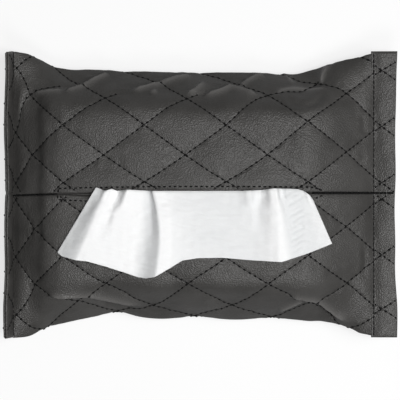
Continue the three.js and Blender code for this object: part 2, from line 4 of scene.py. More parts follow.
import bpy
import numpy as np
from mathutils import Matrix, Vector


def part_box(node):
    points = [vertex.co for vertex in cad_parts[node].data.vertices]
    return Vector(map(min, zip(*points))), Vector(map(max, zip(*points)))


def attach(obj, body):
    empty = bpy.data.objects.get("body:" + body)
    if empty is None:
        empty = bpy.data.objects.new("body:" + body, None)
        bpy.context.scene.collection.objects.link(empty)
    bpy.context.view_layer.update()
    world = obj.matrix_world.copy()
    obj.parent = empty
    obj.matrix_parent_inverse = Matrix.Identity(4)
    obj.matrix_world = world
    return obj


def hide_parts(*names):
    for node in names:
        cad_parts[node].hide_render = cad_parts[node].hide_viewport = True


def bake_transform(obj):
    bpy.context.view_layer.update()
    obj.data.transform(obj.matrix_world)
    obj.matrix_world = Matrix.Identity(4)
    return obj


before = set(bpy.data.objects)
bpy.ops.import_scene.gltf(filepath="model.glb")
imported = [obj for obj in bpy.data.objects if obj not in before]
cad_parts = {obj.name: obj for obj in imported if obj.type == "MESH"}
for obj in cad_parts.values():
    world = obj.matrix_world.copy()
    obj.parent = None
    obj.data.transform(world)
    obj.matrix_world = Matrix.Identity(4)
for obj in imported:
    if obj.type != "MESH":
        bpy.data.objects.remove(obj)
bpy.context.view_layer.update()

MM = 0.001

# The photographed frame: its side in pixels, its centre and scale for a place on the cover's front,
# and the camera, which sees PIXEL millimetres to a pixel at the height of the end seams
FRAME = 400
FRAME_CENTRE = (200.25, 194.4)
FRAME_SCALE = 0.684
CAMERA = (-0.2, -3.9, 1462.0)
PIXEL = 0.69

# The sewn tube. Its girth, seams and height are those of the solids
GIRTH = 397.0
HALF_GIRTH = GIRTH / 2
LEFT_SEAM = -127.375
RIGHT_SEAM = 117.425
HINGE = {-1: -129.375, 1: 119.425}
SEAM_Z = 25.0
SEAM_HALF = 2.0
TOP_Z = 50.5
WIDEST_Z = 14.0
FLANGE_WIDTH = 15.3
FLANGE_LIFT = {-1: math.radians(76), 1: 0}
LEFT_BACK = 24.0
RIGHT_SLOPE = 47.0
RIGHT_BACK = 38.0
LEFT_GATHER = 36.0
RIGHT_GATHER = 38.0

# Rise of the front over the distance from the left seam
LEFT_RISE = np.array([
    [0, 0], [3, 0.12], [8, 0.28], [13, 0.42], [16, 0.53], [19, 0.66], [22, 0.75], [27, 0.825], [36, 0.895],
    [48, 0.955], [64, 1], [400, 1],
])

# Half widths of the outline over the length: place, upper side, lower side. The skin lies a little off it
OUTLINE_GAP = {1: 0.25, -1: -0.35}
OUTLINE = np.array([
    [-129, 99.0, 99.0], [-117.5, 96.2, 96.8], [-110.6, 93.0, 93.4], [-103.7, 90.0, 90.6],
    [-96.8, 87.6, 88.6], [-90, 85.8, 86.8], [-76, 85.4, 84.2], [-55, 85.2, 81.3],
    [-42, 84.8, 83.4], [-30, 84.4, 84.4], [0, 83.8, 84.4], [35, 83.4, 85.2], [55, 83.2, 85.4],
    [69, 83.4, 85.4], [76, 85.2, 86.0], [83, 86.6, 86.4], [90, 88.6, 88.2], [97, 91.2, 90.2],
    [104, 93.2, 92.2], [110, 95.0, 94.6], [117, 97.2, 96.8], [121, 98.4, 98.6],
])

# Quilting: half a diamond along the tube and round it, the first row's distance from the centre seam, and the
# numbers of the stitch lines in each direction
HALF_L = 27.7
HALF_W = 19.3
FIRST_ROW = 7.8
LINE_NUMBERS = range(-14, 16)
PUFF = 1.6
PUFF_POWER = 0.6

# Slit
SLIT_LEFT = -96.0
SLIT_RIGHT = 82.0
UPPER_GAPE = 1.2
LOWER_GAPE = 3.0
LIP_ROUND = 1.1
GROOVE = 1.5
GROOVE_WIDTH = 0.6
STITCH = 3.6
TOPSTITCH = 3.7


def smooth(t):
    t = np.clip(t, 0, 1)
    return t * t * (3 - 2 * t)


def mix(a, b, t):
    return a + (b - a) * t


def unit(v):
    """Vectors at a length of one."""
    return v / np.maximum(np.linalg.norm(v, axis=-1, keepdims=True), 1e-9)


def between(grid, i, j, a, b):
    """A value between four neighbours of a grid, at shares a and b of a step."""
    low = grid[i, j] * (1 - b) + grid[i, j + 1] * b
    high = grid[i + 1, j] * (1 - b) + grid[i + 1, j + 1] * b
    return low * (1 - a) + high * a


def rise(distance, run, power=1.7):
    """Share of full height at a distance from a seam."""
    return 1 - (1 - np.clip(distance / run, 0, 1)) ** power


def curve(x, table, column):
    """A smooth value from a table of places and values."""
    place = table[:, 0]
    i = np.clip(np.searchsorted(place, x) - 1, 0, len(place) - 2)
    t = np.clip((x - place[i]) / (place[i + 1] - place[i]), 0, 1)
    value = table[:, column]
    slope = np.gradient(value, place)
    width = place[i + 1] - place[i]
    a = 2 * t**3 - 3 * t**2 + 1
    b = t**3 - 2 * t**2 + t
    c = -2 * t**3 + 3 * t**2
    d = t**3 - t**2
    return a * value[i] + b * width * slope[i] + c * value[i + 1] + d * width * slope[i + 1]


# Cross-sections on a table: stations along X, and steps round half the girth on each side
STATIONS = 300
TURNS = 360
# The middle is boxy: its front is level up to a bend at this share of the half width
BEND = {1: 0.7, -1: 0.74}
BEND_ROUND = 0.07
# The ends are tent-like, as powers of a rounded cross-section. The back's first one grows to the middle
TENT_POWERS = (2.5, 1 / 1.3)
BACK_POWERS = (2.6, 12.0)
BACK_ROUND = 1 / 2.2
# The share of full height from which a cross-section is as boxy as its gathers allow
BOXY_FROM = 0.33
station_x = np.linspace(LEFT_SEAM, RIGHT_SEAM, STATIONS + 1)


def shoulder(share, bend):
    """Height of a cross-section: level as far as the bend, then falling evenly to the side."""
    start, here, end = (
        t + np.sqrt(t * t + BEND_ROUND) for t in (-bend / (1 - bend), (share - bend) / (1 - bend), 1.0)
    )
    return np.clip((end - here) / (end - start), 0, 1)


def section_table(side):
    """Points (y, z) of half a cross-section at each station, evenly spaced by length."""
    x = station_x[:, None]
    left = x - LEFT_SEAM
    right = RIGHT_SEAM - x
    front = curve(left, LEFT_RISE, 1) * rise(right, RIGHT_SLOPE, 1.3)
    back = rise(left, LEFT_BACK) * rise(right, RIGHT_BACK)
    gather = smooth(left / LEFT_GATHER) * smooth(right / RIGHT_GATHER)
    boxy = mix(1.0, gather, np.clip(np.minimum(front, back) / BOXY_FROM, 0, 1))
    top = mix(SEAM_Z + SEAM_HALF, TOP_Z, front)
    bottom = mix(SEAM_Z - SEAM_HALF, 0, back)
    widest = mix(SEAM_Z, WIDEST_Z, back)
    back_power = mix(*BACK_POWERS, boxy)
    half = curve(x, OUTLINE, 1 if side > 0 else 2) - OUTLINE_GAP[side]
    turn = np.linspace(0, 2, 2 * TURNS + 1)[None, :]
    share = np.sin(np.where(turn <= 1, turn, 2 - turn) * math.pi / 2)
    tapered = np.clip(1 - share ** TENT_POWERS[0], 0, 1) ** TENT_POWERS[1]
    z_front = widest + (top - widest) * mix(tapered, shoulder(share, BEND[side]), boxy)
    z_back = widest - (widest - bottom) * np.clip(1 - share**back_power, 0, 1) ** BACK_ROUND
    z = np.maximum(np.where(turn <= 1, z_front, z_back), 0)
    y = half * share
    length = np.concatenate(
        [np.zeros((len(station_x), 1)), np.cumsum(np.hypot(np.diff(y), np.diff(z)), axis=1)], axis=1
    )
    even = np.linspace(0, 1, TURNS + 1)
    out = np.zeros((len(station_x), TURNS + 1, 2))
    for i in range(len(station_x)):
        part = length[i] / length[i, -1]
        out[i, :, 0] = np.interp(even, part, y[i])
        out[i, :, 1] = np.interp(even, part, z[i])
    return out


sections = {1: section_table(1), -1: section_table(-1)}

# The sheet's length from the left seam, and where it lies on the crown and on the long sides
SHEET_LENGTH = 270.3
CROSSING_U = 111.8
CROWN = np.array([
    [0, LEFT_SEAM], [28.7, -115], [56.4, -93.2], [84.1, -65.5], [111.8, -37.8], [167.2, 17.6],
    [222.6, 73], [250.3, 100], [SHEET_LENGTH, RIGHT_SEAM],
])
SIDE = np.array([
    [0, LEFT_SEAM], [28, -108], [56.4, -83.9], [84, -58.5], [111.8, -33.1], [139.5, -4.9],
    [167.2, 23.4], [195, 51], [222.6, 78.1], [250, 99], [SHEET_LENGTH, RIGHT_SEAM],
])

# Stitch crossings of the cover that the photograph shows, by column and row, in pixels of its frame
CROSSINGS = {
    (-3, 1): (32.2, 155), (-3, 3): (30.3, 94.8), (-2, 2): (62.5, 124.8), (-2, 4): (76, 83.5),
    (-1, 1): (103.6, 154.8), (-1, 3): (105.3, 98.3), (0, 2): (144.1, 124.8), (0, 4): (155, 82.5),
    (1, 1): (185.3, 154.8), (1, 3): (187.3, 99), (2, 2): (226.1, 124.8), (2, 4): (234.5, 84),
    (3, 1): (267.6, 154.6), (3, 3): (268, 95.6), (4, 2): (307.8, 121.4), (4, 4): (317.5, 84),
    (5, 1): (346.5, 152), (5, 3): (346.4, 93.3), (-3, 19): (34, 229), (-3, 17): (35, 284),
    (-2, 18): (62.3, 256), (-2, 16): (78, 300.5), (-1, 17): (106, 283.5), (0, 16): (153, 305),
    (1, 17): (188, 283.5), (2, 16): (232, 304.5), (3, 17): (268.5, 283.9), (4, 16): (311, 302),
    (4, 18): (308.5, 255.3), (5, 19): (346.3, 226.6), (5, 17): (347, 283), (1, 15): (194, 315.7),
    (3, 15): (272, 316.5),
}
# How far the stitch lines wander at a crossing: away from the centre seam and along the tube. Two crossings
# at the ends are given, and settle_drift finds the others
DRIFT = {(-4, 2): (-5.0, 0.0), (6, 16): (-1.5, 0.0)}
DRIFT_REACH = 21
# Distance from the centre seam over which the drift fades in
DRIFT_FREE = 15


def crown_u(x):
    """Place along the sheet of a place along the tube's crown."""
    return np.interp(x, CROWN[:, 1], CROWN[:, 0])


def side_of(r):
    """1 on the upper half of the sheet, -1 on the lower half."""
    return np.where(r <= HALF_GIRTH, 1, -1)


def away_of(r):
    """Distance round the girth from the centre seam."""
    return np.minimum(r, GIRTH - r)


def drift(u, r, along=False):
    """Shift of the stitch lines away from the centre seam, or along the tube."""
    column, row = quilt_place(u, r)
    total = np.zeros(np.broadcast(u, r).shape)
    for (c, k), (outward, lengthwise) in sorted(DRIFT.items()):
        near = ((column - c) * HALF_L) ** 2 + ((row - k) * HALF_W) ** 2
        total += (lengthwise if along else outward) * np.exp(-near / DRIFT_REACH**2)
    return total * smooth(away_of(r) / DRIFT_FREE)


def base_point(u, r):
    """Point of the sheet without quilting. r runs from the upper lip round the back."""
    side = side_of(r)
    part = np.clip((away_of(r) + drift(u, r)) / HALF_GIRTH, 0, 1)
    crown = np.interp(u, CROWN[:, 0], CROWN[:, 1])
    edge = np.interp(u, SIDE[:, 0], SIDE[:, 1])
    onto = smooth((part - 0.27) / 0.16) * (1 - smooth((part - 0.6) / 0.16))
    seams = smooth(u / 12) * smooth((SHEET_LENGTH - u) / 12)
    x = mix(crown, edge, onto) + drift(u, r, along=True) * seams
    fi = np.clip((x - LEFT_SEAM) / (RIGHT_SEAM - LEFT_SEAM), 0, 1) * STATIONS
    i = np.clip(fi.astype(int), 0, STATIONS - 1)
    fj = np.interp(part, [0, 0.55, 1], [0, 0.568, 1]) * TURNS
    j = np.clip(fj.astype(int), 0, TURNS - 1)
    a, b = (fi - i)[..., None], (fj - j)[..., None]
    yz = np.where((side > 0)[..., None], *(between(sections[k], i, j, a, b) for k in (1, -1)))
    return np.stack([x, yz[..., 0] * side, yz[..., 1]], axis=-1)


def quilt_place(u, r):
    """Column and row of the quilting, in half diamonds from a crossing."""
    return (u - CROSSING_U) / HALF_L, (r - FIRST_ROW) / HALF_W


def line_distance(u, r):
    """Distance to the nearest quilt line."""
    column, row = quilt_place(u, r)
    scale = 2 * HALF_L * HALF_W / math.hypot(HALF_L, HALF_W)
    one = (column + row) / 2
    two = (column - row) / 2
    return scale * np.minimum(np.abs(one - np.round(one)), np.abs(two - np.round(two)))


# Stitch lines that folds hide on the upper wall: line, and the row where its fold begins
FOLDED = {-3: 3.55, -2: 3.12, -1: 3.12, 0: 3.98}
FOLD_END = 5.5


def folded_over(u, r):
    """Share to which a fold fills the valley of the nearest line, 0 to 1."""
    column, row = quilt_place(u, r)
    line = np.round((column - row) / 2)
    before_end = smooth((FOLD_END - row) / 0.4)
    return sum((line == k) * smooth((row - start) / 0.3) * before_end for k, start in FOLDED.items())


def puff(u, r):
    """Rise of a diamond over its stitch lines, 0 to 1."""
    column, row = quilt_place(u, r)
    rising = np.abs(np.sin(math.pi * (column + row) / 2))
    falling = mix(np.abs(np.sin(math.pi * (column - row) / 2)), 1, folded_over(u, r))
    return (rising * falling) ** PUFF_POWER


def waves(u, s, scale, count, seed):
    """Smooth random waves, about -1 to 1."""
    r = np.random.default_rng(seed)
    total = np.zeros_like(u, dtype=float)
    for _ in range(count):
        angle = r.uniform(0, math.pi)
        k = 2 * math.pi / (scale * r.uniform(0.7, 1.6))
        total += np.sin(k * (u * math.cos(angle) + s * math.sin(angle)) + r.uniform(0, 6.28))
    return total / math.sqrt(count)


def lip_open(x, side):
    """How far a lip stands off the centre line."""
    t = (x - SLIT_LEFT) / (SLIT_RIGHT - SLIT_LEFT)
    bow = np.clip(1 - np.abs(2 * t - 1) ** 2.5, 0, 1)
    return (UPPER_GAPE if side > 0 else LOWER_GAPE) * bow


def centre_y(x):
    """The centre seam wanders a little off the middle."""
    return np.interp(x, [-130, -95, 80, 130], [-0.8, 0.2, 0.9, 0.9])


def place(px, py, scale=FRAME_SCALE):
    """Plan place of a point of the photographed frame, at a height's scale."""
    return (px - FRAME_CENTRE[0]) * scale, (FRAME_CENTRE[1] - py) * scale


def pictured(p):
    """Place in the photographed frame of points in space."""
    scale = (CAMERA[2] - SEAM_Z) / PIXEL / (CAMERA[2] - p[..., 2])
    return FRAME / 2 + (p[..., 0] - CAMERA[0]) * scale, FRAME / 2 - (p[..., 1] - CAMERA[1]) * scale


# Power of a fold's cross-section: a ridge is sharp and a hollow is round
RIDGE_POWER = 1.25
HOLLOW_POWER = 2


def crease(x, y, line, left, right, height, start, end):
    """Share of a fold's height, along a line in plan, with its width on the left and on the right."""
    points = np.array([place(px, py) for px, py in line])
    lengths = np.concatenate([[0], np.cumsum(np.hypot(*np.diff(points, axis=0).T))])
    best = np.full(x.shape, 1e9)
    off = np.zeros(x.shape)
    along = np.zeros(x.shape)
    for k in range(len(points) - 1):
        (ax, ay), (bx, by) = points[k], points[k + 1]
        dx, dy = bx - ax, by - ay
        size = math.hypot(dx, dy)
        t = ((x - ax) * dx + (y - ay) * dy) / size**2
        if k > 0:
            t = np.maximum(t, 0)
        if k < len(points) - 2:
            t = np.minimum(t, 1)
        qx, qy = ax + t * dx, ay + t * dy
        gap = np.hypot(x - qx, y - qy)
        side = np.where(dx * (y - ay) - dy * (x - ax) > 0, -1, 1)
        nearer = gap < best
        best = np.where(nearer, gap, best)
        off = np.where(nearer, gap * side, off)
        along = np.where(nearer, (lengths[k] + t * size) / lengths[-1], along)
    width = np.where(off < 0, left, right)
    fade = smooth(along / max(start, 1e-3)) * smooth((1 - along) / max(end, 1e-3))
    return fade * np.exp(-(np.abs(off / width) ** (RIDGE_POWER if height > 0 else HOLLOW_POWER)))


def set_values(obj, name, values):
    """One value at each point of a mesh, for its material to read."""
    attribute = obj.data.attributes.new(name, "FLOAT", "POINT")
    attribute.data.foreach_set("value", values)


def thicken(piece, thickness, offset):
    """Gives a sheet its thickness: behind its faces at offset -1, half on each side at 0."""
    thick = piece.modifiers.new("thickness", "SOLIDIFY")
    thick.thickness = thickness * MM
    thick.offset = offset


def grid_normals(p):
    return unit(np.cross(np.gradient(p, axis=0), np.gradient(p, axis=1)))


def dress(piece, slot, *replaced, body="cover"):
    """Tells the export what a piece rides on and which nodes it replaces. slot is not used."""
    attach(piece, body)
    if replaced:
        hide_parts(*replaced)


def mesh_object(name, points, faces, *materials, inner=None):
    mesh = bpy.data.meshes.new(name)
    mesh.from_pydata((np.asarray(points, float) * MM).tolist(), [], faces)
    for material in materials:
        mesh.materials.append(material)
    if inner is not None:
        mesh.polygons.foreach_set("material_index", inner)
    mesh.polygons.foreach_set("use_smooth", [True] * len(mesh.polygons))
    mesh.update()
    obj = bpy.data.objects.new(name, mesh)
    bpy.context.scene.collection.objects.link(obj)
    return obj


def grid_faces(nu, ns, slant=None, flip=False):
    i, j = np.meshgrid(np.arange(nu - 1), np.arange(ns - 1), indexing="ij")
    a = (i * ns + j).ravel()
    b, c, d = a + ns, a + ns + 1, a + 1
    if slant is None:
        faces = np.stack([a, b, c, d], axis=1)
    else:
        k = slant.ravel()[:, None]
        one = np.where(k, np.stack([a, b, c], 1), np.stack([a, b, d], 1))
        two = np.where(k, np.stack([a, c, d], 1), np.stack([b, c, d], 1))
        faces = np.concatenate([one, two])
    if flip:
        faces = faces[:, ::-1]
    return faces.tolist()


# Materials
class Shader:
    """A material with its nodes."""

    def __init__(self, name):
        self.material = bpy.data.materials.new(name)
        self.material.use_nodes = True
        self.nodes = self.material.node_tree.nodes
        self.links = self.material.node_tree.links
        self.surface = self.nodes["Principled BSDF"]

    def feed(self, node, inputs):
        """Sets inputs of a node to numbers or colours, or links other nodes' outputs to them."""
        for key, value in inputs.items():
            if isinstance(value, bpy.types.NodeSocket):
                self.links.new(value, node.inputs[key])
            else:
                node.inputs[key].default_value = (*value, 1) if isinstance(value, tuple) else value

    def node(self, kind, inputs, output, **settings):
        """The output of a new node with its settings and inputs."""
        node = self.nodes.new(kind)
        for key, value in settings.items():
            setattr(node, key, value)
        self.feed(node, inputs)
        return node.outputs[output]

    def where(self):
        return self.node("ShaderNodeTexCoord", {}, "Object")

    def attribute(self, name):
        """The values that set_values gave to a mesh."""
        return self.node("ShaderNodeAttribute", {}, "Fac", attribute_name=name)

    def noise(self, where, scale, detail=3.0):
        inputs = {"Vector": where, "Scale": scale, "Detail": detail, "Roughness": 0.55}
        return self.node("ShaderNodeTexNoise", inputs, "Fac")

    def ramp(self, value, low, high, a, b):
        inputs = {"Value": value, "From Min": low, "From Max": high, "To Min": a, "To Max": b}
        return self.node("ShaderNodeMapRange", inputs, "Result")

    def spots(self, value, a=0, b=1):
        """The middle of a noise's range, stretched from a to b."""
        return self.ramp(value, 0.3, 0.7, a, b)

    def calculate(self, operation, *values, clamp=False):
        """The result of one calculation on two or three values."""
        return self.node("ShaderNodeMath", dict(enumerate(values)), 0, operation=operation, use_clamp=clamp)

    def mixed(self, factor, a, b, kind="RGBA"):
        return self.node("ShaderNodeMix", {"Factor": factor, "A": a, "B": b}, "Result", data_type=kind)

    def bump(self, height, distance, strength):
        inputs = {"Height": height, "Distance": distance, "Strength": strength}
        self.feed(self.surface, {"Normal": self.node("ShaderNodeBump", inputs, "Normal")})


# Leather: its scales are cells to a metre. Where a fold stretches it, it is smoother and glossier, and paler
# by a highlight painted into its colour
LEATHER_DARK = (0.0485, 0.0468, 0.0446)
LEATHER_LIGHT = (0.0695, 0.0674, 0.0645)
LEATHER_ROUGHNESS = (0.36, 0.43)
LEATHER_SHINE = 0.34
# Paler colour of the fold crests: a painted highlight
PAINTED_FOLD_HIGHLIGHT = (0.138, 0.134, 0.130)
STRETCHED_ROUGHNESS = 0.27
CELL_SCALE = 1150
FINE_SCALE = 1600
PATCH_SCALE = 45
GRAIN_DEPTH = 0.0005
GRAIN = 0.75
PULLED_GRAIN = 0.1


def leather_material():
    """Artificial leather with a fine grain, which folds and walls pull flat, and with a highlight painted
    paler into its colour on fold crests.
    """
    shader = Shader("leather")
    where = shader.where()
    cells = shader.node("ShaderNodeTexVoronoi", {"Vector": where, "Scale": CELL_SCALE, "Smoothness": 0.6},
                        "Distance", feature="SMOOTH_F1")
    patches = shader.spots(shader.noise(where, PATCH_SCALE, 4))
    fine = shader.noise(where, FINE_SCALE, 2)
    rough = shader.spots(fine, *LEATHER_ROUGHNESS)
    gloss_and_painted_highlight = shader.attribute("gloss_and_painted_highlight")
    shader.feed(shader.surface, {
        # Fold crests are made smoother, and a highlight is painted paler into their colour
        "Base Color": shader.mixed(gloss_and_painted_highlight, shader.mixed(patches, LEATHER_DARK, LEATHER_LIGHT), PAINTED_FOLD_HIGHLIGHT),
        "Roughness": shader.mixed(gloss_and_painted_highlight, rough, STRETCHED_ROUGHNESS, "FLOAT"),
        "Specular IOR Level": LEATHER_SHINE,
    })
    grain = shader.calculate("ADD", cells, shader.ramp(fine, 0, 1, 0, 0.35))
    shader.bump(grain, GRAIN_DEPTH, shader.ramp(shader.attribute("pulled"), 0, 1, GRAIN, PULLED_GRAIN))
    return shader.material


def plain_material(name, a, b, scale, rough, fine=900, shine=0.5):
    """A material in patches of two colours, with a fine roughness of its surface."""
    shader = Shader(name)
    where = shader.where()
    colour = shader.mixed(shader.spots(shader.noise(where, scale)), a, b)
    shader.feed(shader.surface, {"Base Color": colour, "Roughness": rough, "Specular IOR Level": shine})
    shader.bump(shader.noise(where, fine, 2), 0.0002, 0.6)
    return shader.material


# Soft paper: its greyer and its whiter colour
PAPER_GREYER = (0.755, 0.765, 0.77)
PAPER_WHITER = (0.9, 0.903, 0.905)


def thin_tissue():
    """Soft paper, whiter in some bands across its width and greyer in others."""
    shader = Shader("thin_tissue")
    where = shader.where()
    spots = shader.spots(shader.noise(where, 90), -0.12, 0.12)
    whiteness = shader.calculate("ADD", shader.attribute("layers"), spots, clamp=True)
    colour = shader.mixed(whiteness, PAPER_GREYER, PAPER_WHITER)
    shader.feed(shader.surface, {"Base Color": colour, "Roughness": 0.95, "Specular IOR Level": 0.2})
    shader.bump(shader.noise(where, 750), 0.0003, 0.5)
    return shader.material


def elastic_material():
    """Woven elastic: ribs along the band and a fine weft across it."""
    shader = Shader("elastic_rib")
    where = shader.where()
    ribs, weft = (
        shader.node("ShaderNodeTexWave", {"Vector": where, "Scale": 2 * math.pi / (20 * pitch * MM)}, "Fac",
                    bands_direction=along)
        for along, pitch in (("X", RIB), ("Y", WEFT))
    )
    both = shader.calculate("MULTIPLY_ADD", weft, 0.4, ribs)
    colour = shader.mixed(shader.ramp(both, 0.1, 1.3, 0, 1), (0.008, 0.008, 0.009), (0.038, 0.038, 0.04))
    shader.feed(shader.surface, {"Base Color": colour, "Roughness": 0.85})
    shader.bump(both, 0.0002, 0.6)
    return shader.material


RIB = 1.3
WEFT = 0.5
leather = leather_material()
thread = plain_material("thread", (0.005, 0.005, 0.005), (0.011, 0.011, 0.011), 800, 0.9, shine=0.12)
tissue_paper = plain_material("tissue_paper", (0.80, 0.805, 0.81), (0.84, 0.845, 0.845), 60, 0.9, fine=700)
leading_paper = thin_tissue()
lining_cloth = plain_material("lining_cloth", (0.02, 0.02, 0.021), (0.032, 0.032, 0.033), 300, 0.9)
film_skin = plain_material("film_skin", (0.72, 0.78, 0.82), (0.82, 0.86, 0.88), 50, 0.3)
elastic_rib = elastic_material()


# Soft folds of the cover: a line in the photographed frame, widths on its left and on its right, height, and
# the shares of its length over which it fades in and out
FOLDS = [
    # upper wall
    ([(62, 91), (71, 88), (80, 84), (92, 78), (103, 73), (108, 71)], 0.9, 2.4, 2.6, 0.2, 0.1),
    ([(128, 92), (144, 86.5), (160, 80.5), (175, 76), (192, 73)], 0.9, 2.4, 2.8, 0.2, 0.1),
    ([(149, 93), (158, 88)], 1.4, 1.8, 1.3, 0.4, 0.4),
    ([(184, 93), (194, 90), (200, 85), (205, 79)], 1.2, 2.4, 2.4, 0.3, 0.3),
    ([(200, 96), (212, 92), (222, 89), (230, 84.5), (235, 85.5), (244, 89), (253, 92.5), (262, 96)], 0.9,
     2.6, 2.8, 0.2, 0.2),
    ([(238, 84), (247, 78.5), (256, 74), (264, 71.5)], 0.9, 2.0, 2.4, 0.2, 0.1),
    ([(272, 93), (281, 88), (291, 86), (300, 84.5), (318, 84.5), (330, 86)], 1.4, 1.8, 0.7, 0.2, 0.2),
    ([(283, 97), (293, 101), (304, 103), (313, 102), (319, 98), (323, 92), (325, 86)], 3.0, 3.4, -2.0, 0.2,
     0.2),
    ([(334, 60), (330, 64.5), (326, 69), (323, 75), (321, 81)], 1.2, 2.4, 2.6, 0.5, 0.2),
    ([(284, 68), (290, 76), (294, 84)], 1.8, 1.4, 1.3, 0.05, 0.4),
    ([(30, 90), (46, 88.5), (64, 88)], 1.2, 2.4, 1.3, 0.2, 0.2),
    # left end
    ([(36, 92), (37, 130), (37.5, 160), (37.5, 200), (38, 240), (37, 275)], 3.0, 3.0, -0.7, 0.1, 0.2),
    # lower wall
    ([(44, 297), (60, 297), (75, 296.5), (90, 297.5), (110, 300), (120, 301.5), (131, 304), (146, 309)],
     2.8, 0.9, 3.2, 0.12, 0.2),
    ([(97, 303), (108, 305), (122, 308), (138, 312)], 1.8, 2.6, -1.8, 0.25, 0.3),
    ([(283, 297), (298, 298.5), (310, 300.5), (320, 304), (330, 311), (340, 318.5), (351, 325)], 2.8, 0.9,
     3.2, 0.2, 0.15),
    ([(278, 314), (290, 309), (303, 303.5)], 2.2, 1.2, 1.8, 0.2, 0.1),
    ([(318, 309), (328, 316), (337, 323)], 1.6, 2.6, -1.4, 0.25, 0.2),
    # right end
    ([(363, 112), (366, 124), (365, 136)], 2.5, 2.5, -1.1, 0.3, 0.3),
    ([(362, 148), (366, 158), (362, 168)], 2.8, 2.8, -0.9, 0.3, 0.3),
    ([(366, 240), (368, 262), (366, 284)], 2.5, 2.5, -1.1, 0.3, 0.3),
]
# Dents of the cover in the photographed frame: centre, half width, half height, and depth
DENTS = [(309, 87, 13, 15, 1.8), (40, 74, 22, 12, 1.5), (357, 307, 11, 15, 1.3)]
# Height over the sheet at which folds and dents are placed
FOLD_RISE = 2.5

# Plan of the two bands, from their solids: low x and y, high x and y
BAND_NAMES = ("band_left", "band_right")
BANDS = [[1000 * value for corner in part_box(name) for value in corner[:2]] for name in BAND_NAMES]

# Cover
STEPS = 24
du = HALF_L / STEPS
dr = HALF_W / STEPS


def lattice(origin, step, low, high):
    """Grid lines in step with the stitch lines, with both ends added."""
    first = math.ceil((low + 0.3 * step - origin) / step)
    last = math.floor((high - 0.3 * step - origin) / step)
    return np.concatenate([[low], origin + step * np.arange(first, last + 1), [high]])


u_line = lattice(CROSSING_U, du, 0, SHEET_LENGTH)
NEAR_CENTRE = np.array([0.2, 0.4, 0.75, 1.0, 1.35])
r_lines = {
    1: np.unique(np.concatenate([lattice(FIRST_ROW, dr, 0, HALF_GIRTH), NEAR_CENTRE])),
    -1: np.unique(np.concatenate([lattice(FIRST_ROW, dr, HALF_GIRTH, GIRTH), GIRTH - NEAR_CENTRE]))[::-1],
}


# Heights at which the sheet stops lying on the table, and at which the front with its folds begins
LYING_Z = 6
FRONT_Z = 8
# Lengths over which the quilting grows from the left and right seam, and its shares there and at the slit
GROWTH = (26, 9)
SEAM_PUFF = 0.25
SLIT_PUFF = 0.35
# Small puckers at the stitch lines and broad waves, by scale and height
PUCKER = (9, 0.2)
BROAD = (38, 0.3)
PUCKER_REACH = 5
# The lips spread over this distance from the slit
LIP_REACH = 16
# Folds lie within this distance from the slit, round the girth
FOLD_SPAN = 110
# A band presses a channel this deep into the cover's back
CHANNEL = 1.5


def cover_points(u, r, side):
    """Outer surface of the quilted cover on a grid of sheet places."""
    p = base_point(u, r)
    n = grid_normals(p) * side
    away = away_of(r)
    lying = smooth(p[..., 2] / LYING_Z)
    ends = smooth((u + 1) / GROWTH[0]) * smooth((SHEET_LENGTH - u + 1) / GROWTH[1])
    centre = smooth(away / 5 + 0.15)
    height = PUFF * puff(u, r) * mix(SEAM_PUFF, 1, ends) * mix(SLIT_PUFF, 1, centre) * lying
    pucker = waves(u, r, PUCKER[0], 12, 3) * np.exp(-line_distance(u, r) / PUCKER_REACH) * PUCKER[1]
    broad = waves(u, r, BROAD[0], 10, 5) * BROAD[1]
    height = height + (pucker + broad) * ends * lying * centre
    x = p[..., 0]
    crest = p + n * FOLD_RISE
    front = smooth((p[..., 2] - FRONT_Z) / 10) * (away < FOLD_SPAN)
    # Share of the fold crests: the leather is smoother and glossier there, and a highlight is painted into
    # its colour
    stretch_and_painted_highlight = np.zeros(u.shape)
    for line, left, right, fold_height, start, end in FOLDS:
        share = crease(crest[..., 0], crest[..., 1], line, left, right, fold_height, start, end) * front
        height = height + fold_height * share
        if fold_height > 0:
            stretch_and_painted_highlight = np.maximum(stretch_and_painted_highlight, share**1.5)
    for px, py, wide, tall, deep in DENTS:
        cx, cy = place(px, py)
        across, up = (crest[..., 0] - cx) / (wide * FRAME_SCALE), (crest[..., 1] - cy) / (tall * FRAME_SCALE)
        height = height - deep * np.exp(-((across**2 + up**2) ** 1.5)) * front
    p = p + n * height[..., None]
    lip = lip_open(x[:, :1], side)
    inside = smooth(lip / 0.5)
    p[..., 2] -= GROOVE * np.exp(-((away / GROOVE_WIDTH) ** 2)) * (p[..., 2] > 10) * (1 - inside)
    p[..., 1] += (side * lip + centre_y(x)) * (1 - smooth(away / LIP_REACH))
    sunk = PUFF * (1 - puff(u, r)) * 0.5 * (1 - lying) * smooth(away / FRONT_Z)
    p[..., 2] = np.maximum(p[..., 2], 0) + np.maximum(sunk, 0)
    x = p[..., 0]
    for low_x, low_y, high_x, high_y in BANDS:
        reach = np.minimum.reduce([x - low_x, high_x - x, p[..., 1] - low_y, high_y - p[..., 1]])
        channel = CHANNEL * smooth((reach + 2.6) / 1.6)
        p[..., 2] = np.where(p[..., 2] < FRONT_Z, np.maximum(p[..., 2], channel), p[..., 2])
    tucked = np.clip(LIP_ROUND - away, 0, LIP_ROUND)
    p[..., 2] -= inside * (LIP_ROUND - np.sqrt(LIP_ROUND**2 - tucked**2))
    return p, inside, stretch_and_painted_highlight


# Rounds of the search for the drift, and the share of a crossing's error that each makes good
ROUNDS = 14
OUTWARD_SHARE = 0.9
LENGTHWISE_SHARE = 0.8


